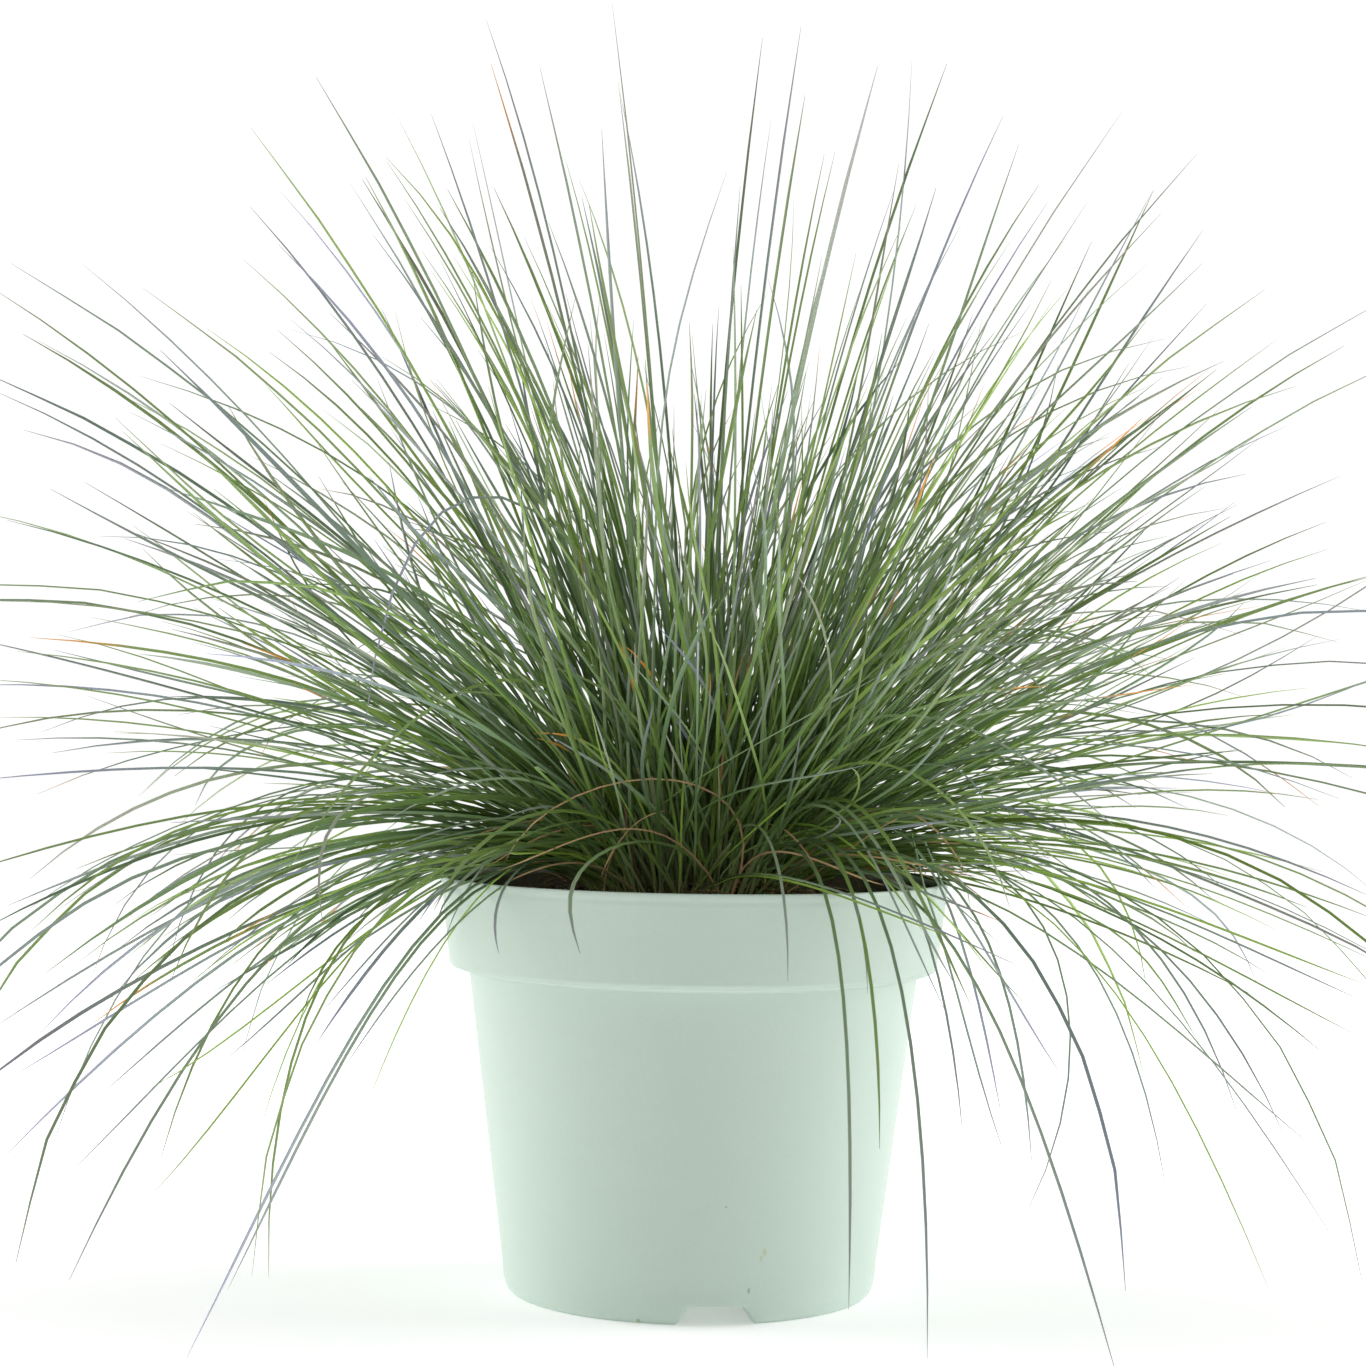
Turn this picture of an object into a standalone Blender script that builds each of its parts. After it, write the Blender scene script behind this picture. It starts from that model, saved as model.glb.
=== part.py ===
"""A potted blue fescue clump: nursery pot, potting soil, crown and leaf tufts.

Metres, +Z up. The origin is the middle of the foot ring, on the surface the pot stands on.
The side where the pot shows most clearly between the leaves faces -Y.
"""

import math
import random

import bmesh
import bpy
from mathutils import Matrix, Vector

# Pot: radii and heights of the turned wall.
POT_HEIGHT = 0.138
RIM_RADIUS = 0.085
COLLAR_RADIUS = 0.0819
COLLAR_ROUND_TOP = 0.1108
COLLAR_BOTTOM = 0.1068
BODY_TOP_RADIUS = 0.0752
BODY_LOW_RADIUS = 0.0620
BODY_LOW_HEIGHT = 0.0055
FOOT_RADIUS = 0.0600
FOOT_WIDTH = 0.0034
WALL = 0.0014
EDGE_ROUND = 0.0006
COLLAR_CURVE_ANGLES = (0.0, 40.0, 70.0)
FLOOR_UNDERSIDE = 0.0066
FLOOR_TOP = 0.0082
POT_SEGMENTS = 60

# Foot notches and drainage holes.
NOTCH_COUNT = 3
NOTCH_FIRST_AZIMUTH = -81.3
NOTCH_HEIGHT = 0.0058
NOTCH_TOP_WIDTH = 0.0174
NOTCH_BOTTOM_WIDTH = 0.0256
DRAIN_COUNT = 6
DRAIN_RADIUS = 0.004
DRAIN_CIRCLE = 0.040
DRAIN_SEGMENTS = 10

# Soil and crown.
GAP = 0.0003
SOIL_GAP = 0.0005
SOIL_EDGE_HEIGHT = 0.1270
SOIL_MIDDLE_HEIGHT = 0.1315
SOIL_SEGMENTS = 40
CROWN_RADIUS = 0.039
CROWN_EDGE_THICKNESS = 0.0014
CROWN_THICKNESS = 0.0052
CROWN_SEGMENTS = 28

# Leaf tufts: base radius, widest radius, tip radius, and where along the tuft it is widest.
TUFT_BASE_RADIUS = 0.0019
TUFT_WIDE_RADIUS = 0.0030
TUFT_TIP_RADIUS = 0.0005
TUFT_WIDEST_AT = 0.16
TUFT_SIDES = 6
TUFT_STEPS = 8
PATH_SAMPLES = 160
SEED = 11

# Rings of tufts: name, count, ring radius, lean of the base from upright, further turn towards
# the tip, length. Angles are in degrees, and each ring's first tuft is at azimuth 0.
TUFT_RINGS = (
    ("heart_tuft", 1, 0.0, 2.0, 5.0, 0.291),
    ("inner_tuft", 6, 0.0085, 9.0, 9.0, 0.291),
    ("middle_tuft", 10, 0.0165, 23.0, 18.0, 0.290),
    ("outer_tuft", 14, 0.0245, 39.0, 28.0, 0.288),
    ("arching_tuft", 12, 0.0305, 50.0, 58.0, 0.284),
)
RING_LEAN_SPREAD = 2.5
RING_LENGTH_SPREAD = 0.012
RING_TURN_POWER = 1.5

# Tufts that arch over the rim and trail beside the pot: azimuth, lean, turn, length.
TRAILING_RING_RADIUS = 0.0355
TRAILING_TURN_POWER = 1.0
TRAILING_TUFTS = (
    (-56.0, 58.0, 122.0, 0.250),
    (-36.0, 60.0, 114.0, 0.272),
    (-15.0, 56.0, 104.0, 0.278),
    (15.0, 58.0, 96.0, 0.276),
    (45.0, 60.0, 104.0, 0.272),
    (75.0, 57.0, 100.0, 0.266),
    (105.0, 57.0, 100.0, 0.266),
    (135.0, 60.0, 104.0, 0.272),
    (165.0, 58.0, 96.0, 0.276),
    (195.0, 56.0, 104.0, 0.278),
    (216.0, 60.0, 114.0, 0.272),
    (236.0, 58.0, 122.0, 0.250),
)

# Colours (red, green, blue), roughness.
POT_FINISH = ((0.50, 0.66, 0.57), 0.42)
SOIL_FINISH = ((0.035, 0.024, 0.016), 0.95)
CROWN_FINISH = ((0.30, 0.27, 0.13), 0.80)
LEAF_FINISH = ((0.13, 0.24, 0.12), 0.55)


def clear_scene():
    for old in list(bpy.data.objects):
        bpy.data.objects.remove(old, do_unlink=True)


def make_material(name, finish):
    colour, roughness = finish
    material = bpy.data.materials.new(name)
    material.use_nodes = True
    shader = material.node_tree.nodes["Principled BSDF"]
    shader.inputs["Base Color"].default_value = (*colour, 1.0)
    shader.inputs["Roughness"].default_value = roughness
    shader.inputs["Metallic"].default_value = 0.0
    return material


def add_object(name, shape, material):
    """Turn a finished bmesh into a named object with its faces pointing out."""
    bmesh.ops.recalc_face_normals(shape, faces=shape.faces)
    mesh = bpy.data.meshes.new(name)
    shape.to_mesh(mesh)
    shape.free()
    mesh.materials.append(material)
    mesh.shade_smooth()
    mesh.set_sharp_from_angle(angle=math.radians(35.0))
    piece = bpy.data.objects.new(name, mesh)
    bpy.context.scene.collection.objects.link(piece)
    return piece


def turn_profile(profile, segments):
    """Turn a profile of (radius, height) about Z; a point on the axis becomes one vertex.

    A profile may leave the axis after running along it: those two points take no faces.
    """
    shape = bmesh.new()
    rings = []
    for radius, height in profile:
        if radius == 0.0:
            rings.append([shape.verts.new((0.0, 0.0, height))])
            continue
        angles = [2.0 * math.pi * k / segments for k in range(segments)]
        rings.append([shape.verts.new((radius * math.cos(a), radius * math.sin(a), height)) for a in angles])
    for upper, lower in zip(rings, rings[1:]):
        if len(upper) + len(lower) > 2:
            join_rings(shape, upper, lower)
    return shape


def join_rings(shape, upper, lower):
    """Join two rings of vertices with faces; either ring may be a single point."""
    count = max(len(upper), len(lower))
    for k in range(count):
        following = (k + 1) % count
        corners = [
            upper[k % len(upper)],
            lower[k % len(lower)],
            lower[following % len(lower)],
            upper[following % len(upper)],
        ]
        shape.faces.new(list(dict.fromkeys(corners)))


def collar_curve(centre_radius, drop):
    """The quarter ellipse that turns the collar in towards the body, from its widest place down."""
    reach = COLLAR_RADIUS - BODY_TOP_RADIUS
    turns = [math.radians(angle) for angle in COLLAR_CURVE_ANGLES]
    return [(centre_radius + reach * math.cos(a), COLLAR_ROUND_TOP - drop * math.sin(a)) for a in turns]


def soil_wall_profile():
    """The pot's inside, from the soil's edge down to the floor: (radius, height)."""
    collar_slope = (RIM_RADIUS - COLLAR_RADIUS) / (POT_HEIGHT - COLLAR_ROUND_TOP)
    edge_radius = COLLAR_RADIUS + collar_slope * (SOIL_EDGE_HEIGHT - COLLAR_ROUND_TOP) - WALL
    return [
        (edge_radius, SOIL_EDGE_HEIGHT),
        *collar_curve(BODY_TOP_RADIUS - WALL, COLLAR_ROUND_TOP - COLLAR_BOTTOM - WALL),
        (BODY_TOP_RADIUS - WALL, COLLAR_BOTTOM + WALL),
        (BODY_LOW_RADIUS - WALL, FLOOR_TOP),
    ]


def pot_profile():
    """The pot's closed section: down the outer side, across the underside, up the inside."""
    foot_inside = FOOT_RADIUS - FOOT_WIDTH
    outer = [
        (RIM_RADIUS - EDGE_ROUND, POT_HEIGHT),
        (RIM_RADIUS, POT_HEIGHT - EDGE_ROUND),
        *collar_curve(BODY_TOP_RADIUS, COLLAR_ROUND_TOP - COLLAR_BOTTOM),
        (BODY_TOP_RADIUS + EDGE_ROUND, COLLAR_BOTTOM),
        (BODY_TOP_RADIUS, COLLAR_BOTTOM),
        (BODY_LOW_RADIUS, BODY_LOW_HEIGHT),
        (FOOT_RADIUS + EDGE_ROUND, EDGE_ROUND),
        (FOOT_RADIUS, 0.0),
    ]
    underside = [(foot_inside, 0.0), (foot_inside - EDGE_ROUND, FLOOR_UNDERSIDE), (0.0, FLOOR_UNDERSIDE)]
    inside = [(0.0, FLOOR_TOP), *reversed(soil_wall_profile())]
    rim_inside = [
        (RIM_RADIUS - WALL - EDGE_ROUND / 2.0, POT_HEIGHT - EDGE_ROUND),
        (RIM_RADIUS - WALL, POT_HEIGHT),
    ]
    top = [(RIM_RADIUS - EDGE_ROUND, POT_HEIGHT)]
    return outer + underside, inside + rim_inside + top


def make_pot(material):
    outside, inside = pot_profile()
    shape = turn_profile(outside + inside, POT_SEGMENTS)
    bmesh.ops.remove_doubles(shape, verts=shape.verts, dist=1e-6)
    pot = add_object("pot", shape, material)
    for k in range(NOTCH_COUNT):
        cut(pot, make_notch_cutter(k, NOTCH_FIRST_AZIMUTH + 360.0 * k / NOTCH_COUNT))
    for k in range(DRAIN_COUNT):
        cut(pot, make_drain_cutter(k, 360.0 * k / DRAIN_COUNT))
    return pot


def make_notch_cutter(index, azimuth):
    """A trapezoid bar through the foot ring, wider at the bottom, pointing along the azimuth."""
    below = -NOTCH_HEIGHT
    inner = FOOT_RADIUS - 3.0 * FOOT_WIDTH
    outer = FOOT_RADIUS + 3.0 * FOOT_WIDTH
    flare = (NOTCH_BOTTOM_WIDTH - NOTCH_TOP_WIDTH) / 2.0
    half_low = NOTCH_BOTTOM_WIDTH / 2.0 + flare
    half_top = NOTCH_TOP_WIDTH / 2.0
    section = [(-half_low, below), (half_low, below), (half_top, NOTCH_HEIGHT), (-half_top, NOTCH_HEIGHT)]
    shape = bmesh.new()
    ends = [[shape.verts.new((x, y, z)) for y, z in section] for x in (inner, outer)]
    join_rings(shape, *ends)
    for end in ends:
        shape.faces.new(end)
    cutter = add_object(f"notch_cutter_{index + 1}", shape, None)
    cutter.rotation_euler.z = math.radians(azimuth)
    return cutter


def make_drain_cutter(index, azimuth):
    shape = bmesh.new()
    bmesh.ops.create_cone(
        shape,
        cap_ends=True,
        segments=DRAIN_SEGMENTS,
        radius1=DRAIN_RADIUS,
        radius2=DRAIN_RADIUS,
        depth=4.0 * (FLOOR_TOP - FLOOR_UNDERSIDE),
    )
    cutter = add_object(f"drain_cutter_{index + 1}", shape, None)
    turn = Matrix.Rotation(math.radians(azimuth), 4, "Z")
    cutter.location = turn @ Vector((DRAIN_CIRCLE, 0.0, (FLOOR_TOP + FLOOR_UNDERSIDE) / 2.0))
    return cutter


def cut(piece, cutter):
    cutter.hide_render = True
    cutter.display_type = "WIRE"
    boolean = piece.modifiers.new(cutter.name, "BOOLEAN")
    boolean.operation = "DIFFERENCE"
    boolean.solver = "EXACT"
    boolean.object = cutter


def soil_top_height(radius):
    """The soil's top: a low mound, highest in the middle."""
    edge_radius = soil_wall_profile()[0][0]
    share = 1.0 - (radius / edge_radius) ** 2
    return SOIL_EDGE_HEIGHT + (SOIL_MIDDLE_HEIGHT - SOIL_EDGE_HEIGHT) * share


def make_soil(material):
    edge, *lower_wall = soil_wall_profile()
    wall = [(edge[0] - SOIL_GAP, edge[1])]
    wall += [(radius - SOIL_GAP, height + SOIL_GAP) for radius, height in lower_wall]
    mound = [(radius, soil_top_height(radius)) for radius in (0.0, CROWN_RADIUS / 2.0, CROWN_RADIUS, 0.06)]
    shape = turn_profile(mound + wall + [(0.0, FLOOR_TOP + SOIL_GAP)], SOIL_SEGMENTS)
    return add_object("potting_soil", shape, material)


def crown_top_height(radius):
    """The crown's top: a dome over the mound of soil, with a thin edge."""
    share = 1.0 - (radius / CROWN_RADIUS) ** 2
    rise = CROWN_EDGE_THICKNESS + (CROWN_THICKNESS - CROWN_EDGE_THICKNESS) * share
    return soil_top_height(radius) + GAP + rise


def make_crown(material):
    """The crown's underside follows the same mound as the soil's top, one gap above it."""
    top = [(radius, crown_top_height(radius)) for radius in (0.0, CROWN_RADIUS / 2.0, CROWN_RADIUS)]
    underside = [
        (radius, soil_top_height(radius) + GAP) for radius in (CROWN_RADIUS, CROWN_RADIUS / 2.0, 0.0)
    ]
    return add_object("crown", turn_profile(top + underside, CROWN_SEGMENTS), material)


def tuft_path(azimuth, ring_radius, lean, turn, turn_power, length):
    """Walk from the base: the path starts at the lean from upright and turns down towards its tip.

    A turn power of 1 turns evenly, as an arc; a larger one keeps the turn for the upper part.
    """
    heading = Vector((math.cos(math.radians(azimuth)), math.sin(math.radians(azimuth)), 0.0))
    base_height = crown_top_height(ring_radius) + GAP + TUFT_BASE_RADIUS * math.sin(math.radians(lean))
    point = heading * ring_radius + Vector((0.0, 0.0, base_height))
    step = length / PATH_SAMPLES
    points, directions = [], []
    for k in range(PATH_SAMPLES + 1):
        share = k / PATH_SAMPLES
        angle = math.radians(lean + turn * share**turn_power)
        direction = heading * math.sin(angle) + Vector((0.0, 0.0, math.cos(angle)))
        points.append(point.copy())
        directions.append(direction)
        point = point + direction * step
    across = Vector((-heading.y, heading.x, 0.0))
    return points, directions, across


def tuft_radius(share):
    """Swells from the base to the widest place, then tapers evenly to the tip."""
    if share < TUFT_WIDEST_AT:
        return TUFT_BASE_RADIUS + (TUFT_WIDE_RADIUS - TUFT_BASE_RADIUS) * share / TUFT_WIDEST_AT
    taper = (share - TUFT_WIDEST_AT) / (1.0 - TUFT_WIDEST_AT)
    return TUFT_WIDE_RADIUS + (TUFT_TIP_RADIUS - TUFT_WIDE_RADIUS) * taper


def make_tuft(name, path, material):
    points, directions, across = path
    shape = bmesh.new()
    rings = []
    for k in range(TUFT_STEPS + 1):
        share = k / TUFT_STEPS
        sample = round(share * PATH_SAMPLES)
        radius = tuft_radius(share)
        upward = directions[sample].cross(across)
        ring = []
        for side in range(TUFT_SIDES):
            angle = 2.0 * math.pi * side / TUFT_SIDES
            offset = across * math.cos(angle) + upward * math.sin(angle)
            ring.append(shape.verts.new(points[sample] + offset * radius))
        rings.append(ring)
    for lower, upper in zip(rings, rings[1:]):
        join_rings(shape, lower, upper)
    shape.faces.new(rings[0])
    shape.faces.new(rings[-1])
    return add_object(name, shape, material)


def make_ring_tufts(material):
    """Rings of tufts, each leaning further out than the ring inside it."""
    chance = random.Random(SEED)
    for name, count, ring_radius, lean, turn, length in TUFT_RINGS:
        for k in range(count):
            azimuth = 360.0 * k / count
            own_lean = lean + chance.uniform(-RING_LEAN_SPREAD, RING_LEAN_SPREAD)
            own_length = length - chance.uniform(0.0, RING_LENGTH_SPREAD)
            own_name = name if count == 1 else f"{name}_{k + 1:02d}"
            path = tuft_path(azimuth, ring_radius, own_lean, turn, RING_TURN_POWER, own_length)
            make_tuft(own_name, path, material)


def make_trailing_tufts(material):
    for k, (azimuth, lean, turn, length) in enumerate(TRAILING_TUFTS):
        path = tuft_path(azimuth, TRAILING_RING_RADIUS, lean, turn, TRAILING_TURN_POWER, length)
        make_tuft(f"trailing_tuft_{k + 1:02d}", path, material)


def main():
    clear_scene()
    make_pot(make_material("mint_plastic", POT_FINISH))
    make_soil(make_material("potting_soil", SOIL_FINISH))
    make_crown(make_material("crown_fibre", CROWN_FINISH))
    leaf = make_material("fescue_leaf", LEAF_FINISH)
    make_ring_tufts(leaf)
    make_trailing_tufts(leaf)


main()
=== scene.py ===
import math

import bmesh
import bpy
import numpy as np
from mathutils import Matrix, Vector


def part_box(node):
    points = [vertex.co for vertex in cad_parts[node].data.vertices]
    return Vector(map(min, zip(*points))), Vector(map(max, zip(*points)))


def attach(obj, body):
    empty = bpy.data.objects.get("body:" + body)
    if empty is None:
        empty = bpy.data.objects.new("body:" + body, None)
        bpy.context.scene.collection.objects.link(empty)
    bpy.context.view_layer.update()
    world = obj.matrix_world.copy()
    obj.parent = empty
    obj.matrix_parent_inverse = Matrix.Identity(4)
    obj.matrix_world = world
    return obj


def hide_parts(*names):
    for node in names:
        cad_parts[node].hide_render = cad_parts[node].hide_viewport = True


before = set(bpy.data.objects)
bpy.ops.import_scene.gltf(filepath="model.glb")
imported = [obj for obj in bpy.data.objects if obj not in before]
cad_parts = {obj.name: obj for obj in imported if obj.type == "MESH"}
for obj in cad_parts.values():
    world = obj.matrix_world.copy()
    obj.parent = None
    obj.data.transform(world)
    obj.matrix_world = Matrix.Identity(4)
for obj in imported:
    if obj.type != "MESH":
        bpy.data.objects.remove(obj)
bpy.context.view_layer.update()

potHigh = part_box("pot")[1]
crownLow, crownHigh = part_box("crown")
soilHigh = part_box("potting_soil")[1]
rimRadius = potHigh.x
rimHeight = potHigh.z
crownRadius = crownHigh.x
soilRadius = soilHigh.x
crownTop = np.array((0.0, 0.0, crownHigh.z))


class Wire:
    # a node's output that can stand in a sum: each operator adds one Math node
    def __init__(self, bench, socket):
        self.bench = bench
        self.socket = socket

    def maths(self, operation, first, second=None):
        # one Math node: operation(first, second), or operation(first)
        values = {0: first} if second is None else {0: first, 1: second}
        return self.bench.node("ShaderNodeMath", {"operation": operation}, values)

    def __add__(self, other):
        return self.maths("ADD", self, other)

    def __radd__(self, other):
        return self.maths("ADD", other, self)

    def __sub__(self, other):
        return self.maths("SUBTRACT", self, other)

    def __rsub__(self, other):
        return self.maths("SUBTRACT", other, self)

    def __mul__(self, other):
        return self.maths("MULTIPLY", self, other)

    def __rmul__(self, other):
        return self.maths("MULTIPLY", other, self)

    def __pow__(self, other):
        return self.maths("POWER", self, other)

    def held(self):
        # kept between 0 and 1
        return self.bench.node("ShaderNodeClamp", {}, {0: self})


class Bench:
    # one material and its node tree
    def __init__(self, name, roughness):
        self.material = bpy.data.materials.new(name)
        self.material.use_nodes = True
        self.tree = self.material.node_tree
        self.shader = self.tree.nodes["Principled BSDF"]
        self.shader.inputs["Roughness"].default_value = roughness

    def node(self, kind, settings, values, output=0):
        # a new node: its settings first, then the value or the link of each socket
        made = self.tree.nodes.new(kind)
        for key, value in settings.items():
            if key == "stops":
                self.setStops(made.color_ramp, value)
            else:
                setattr(made, key, value)
        for key, value in values.items():
            self.feed(made.inputs[key], value)
        return Wire(self, made.outputs[output])

    def setStops(self, ramp, stops):
        # a ramp's stops: each a place from 0 to 1 and the colour there
        while len(ramp.elements) < len(stops):
            ramp.elements.new(1.0)
        for element, (place, colour) in zip(ramp.elements, stops):
            element.position = place
            element.color = (*colour, 1.0)

    def feed(self, socket, value):
        # a Wire is linked; a plain number or colour is set on the socket itself
        if isinstance(value, Wire):
            self.tree.links.new(value.socket, socket)
        elif isinstance(value, tuple) and socket.type == "RGBA":
            socket.default_value = (*value, 1.0)
        else:
            socket.default_value = value

    def set(self, name, value):
        # the same for a socket of the shader
        self.feed(self.shader.inputs[name], value)

    def attribute(self, name, output="Fac"):
        # what addValues or addVectors gave the piece
        return self.node("ShaderNodeAttribute", {"attribute_name": name}, {}, output)

    def split(self, vector):
        # x, y and z, each as a Wire
        parts = self.tree.nodes.new("ShaderNodeSeparateXYZ")
        self.feed(parts.inputs[0], vector)
        return [Wire(self, output) for output in parts.outputs]

    def place(self):
        # the piece's own coordinates, in metres
        return self.node("ShaderNodeTexCoord", {}, {}, "Object")

    def stretched(self, vector, scale):
        # vector times scale, axis by axis
        return self.node("ShaderNodeMapping", {}, {"Vector": vector, "Scale": scale})

    def noise(self, vector, scale, detail):
        # cloudy noise from 0 to 1, about one cloud in 1/scale metres
        values = {"Vector": vector, "Scale": scale, "Detail": detail}
        return self.node("ShaderNodeTexNoise", {}, values, "Fac")

    def rise(self, value, low, high):
        # 0 below low, 1 above high, smooth between
        values = {"Value": value, "From Min": low, "From Max": high}
        return self.node("ShaderNodeMapRange", {"interpolation_type": "SMOOTHSTEP"}, values, "Result")

    def mix(self, first, second, share):
        # a colour between two colours
        return self.node("ShaderNodeMix", {"data_type": "RGBA"}, {0: share, 6: first, 7: second}, 2)

    def tinted(self, colour, factor):
        # colour times factor
        return self.node("ShaderNodeVectorMath", {"operation": "SCALE"}, {0: colour, "Scale": factor})

    def bump(self, height, distance, strength):
        # the surface tilts as if it rose by height times distance
        values = {"Height": height, "Distance": distance, "Strength": strength}
        self.set("Normal", self.node("ShaderNodeBump", {}, values, "Normal"))


def addMesh(name, points, faces, sharpAngle):
    # one mesh object at the origin; points is (n, 3) and faces a list of index arrays (m, 3) or (m, 4);
    # shaded smooth, except where two faces meet at more than sharpAngle degrees
    mesh = bpy.data.meshes.new(name)
    counts = np.concatenate([np.full(len(f), f.shape[1]) for f in faces])
    corners = np.concatenate([f.ravel() for f in faces])
    mesh.vertices.add(len(points))
    mesh.vertices.foreach_set("co", np.ascontiguousarray(points, np.float32).ravel())
    mesh.loops.add(len(corners))
    mesh.loops.foreach_set("vertex_index", corners.astype(np.int32))
    mesh.polygons.add(len(counts))
    starts = np.concatenate(([0], np.cumsum(counts)[:-1]))
    mesh.polygons.foreach_set("loop_start", starts.astype(np.int32))
    mesh.update(calc_edges=True)
    mesh.validate()
    mesh.shade_smooth()
    mesh.set_sharp_from_angle(angle=math.radians(sharpAngle))
    piece = bpy.data.objects.new(name, mesh)
    bpy.context.scene.collection.objects.link(piece)
    return piece


def addValues(piece, name, values):
    # one number for each vertex, which a material reads by its name
    attribute = piece.data.attributes.new(name, "FLOAT", "POINT")
    attribute.data.foreach_set("value", np.ascontiguousarray(values, np.float32).ravel())


def addVectors(piece, name, values):
    # three numbers for each vertex, read the same way
    attribute = piece.data.attributes.new(name, "FLOAT_VECTOR", "POINT")
    attribute.data.foreach_set("vector", np.ascontiguousarray(values, np.float32).ravel())


def addMap(piece, places):
    # the piece's own UV map: one (u, v) for each face corner
    layer = piece.data.uv_layers.new(name="OFBake")
    layer.data.foreach_set("uv", np.ascontiguousarray(places, np.float32).ravel())


def seat(piece, node, material):
    # the piece rides on the pot's body and stands for its CAD node
    piece.data.materials.append(material)
    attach(piece, "root")
    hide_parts(node)


def smoothStep(low, high, value):
    # 0 below low, 1 above high, and 3t^2 - 2t^3 between them
    share = np.clip((value - low) / (high - low), 0.0, 1.0)
    return share * share * (3.0 - 2.0 * share)


def rippleField(x, y, waveLength, seed, waves=28):
    # a smooth random height about 0: the sum of many cosine waves of about one length, each in its own
    # direction, over the root of their number
    chance = np.random.default_rng(seed)
    turn = chance.uniform(0.0, 2.0 * math.pi, waves)
    phase = chance.uniform(0.0, 2.0 * math.pi, waves)
    pull = 2.0 * math.pi / (waveLength * chance.uniform(0.6, 1.5, waves))
    travel = np.multiply.outer(x, pull * np.cos(turn)) + np.multiply.outer(y, pull * np.sin(turn))
    return np.cos(travel + phase).sum(axis=-1) / math.sqrt(waves)


def gridFaces(rows, columns):
    # the quads between neighbouring rows of a grid of points, whose last column meets its first
    row = np.arange(rows - 1)[:, None]
    column = np.arange(columns)[None, :]
    following = (column + 1) % columns
    first, second = row * columns + column, row * columns + following
    third, fourth = (row + 1) * columns + following, (row + 1) * columns + column
    return np.stack([first, second, third, fourth], axis=-1).reshape(-1, 4)


def fanFaces(ring, centre, upward):
    # triangles from a ring of points to one point in its middle
    following = np.roll(ring, -1)
    middle = np.full(len(ring), centre)
    order = (middle, ring, following) if upward else (middle, following, ring)
    return np.stack(order, axis=-1)


print("frame loaded")

potShape = {
    "segments": 360,
    "collarRadius": 0.0819,  # where the collar starts to turn in
    "collarTurnHeight": 0.1100,
    "cornerRound": 0.0022,
    "collarFoot": 0.1075,
    "bodyTopRadius": 0.0752,
    "bodyLowRadius": 0.0620,
    "bodyLowHeight": 0.0055,
    "footRadius": 0.0600,
    "footWidth": 0.0034,
    "wall": 0.0014,
    "floorUnderside": 0.0066,
    "floorTop": 0.0082,
    "rimRound": 0.0006,
    "grooveDrop": 0.0027,  # the fine groove under the rim
    "grooveDepth": 0.00022,
    "grooveHalf": 0.00045,
    "ledgeOut": 0.00055,  # the fine ledge where collar meets body
    "notchCount": 3,
    "notchFirst": -81.3,
    "notchHeight": 0.0058,
    "notchTopHalf": 0.0087,
    "notchLowHalf": 0.0128,
    "drainCount": 6,
    "drainRadius": 0.0040,
    "drainCircle": 0.040,
}


def arc(centre, reach, start, end, steps):
    # points on an ellipse about a centre (radius, height), from one angle to another, in degrees
    angles = np.radians(np.linspace(start, end, steps))
    return [(centre[0] + reach[0] * math.cos(a), centre[1] + reach[1] * math.sin(a)) for a in angles]


def squarerArc(centre, reach, start, end, steps):
    # the same with a squarer bend: cosine and sine each raised to two thirds
    angles = np.radians(np.linspace(start, end, steps))
    return [(centre[0] + reach[0] * abs(math.cos(a)) ** (2.0 / 3.0),
             centre[1] + reach[1] * abs(math.sin(a)) ** (2.0 / 3.0)) for a in angles]


def straight(start, end, steps):
    # evenly spaced points on a line, without its last one
    shares = np.linspace(0.0, 1.0, steps, endpoint=False)
    return [(start[0] + (end[0] - start[0]) * s, start[1] + (end[1] - start[1]) * s) for s in shares]


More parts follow.
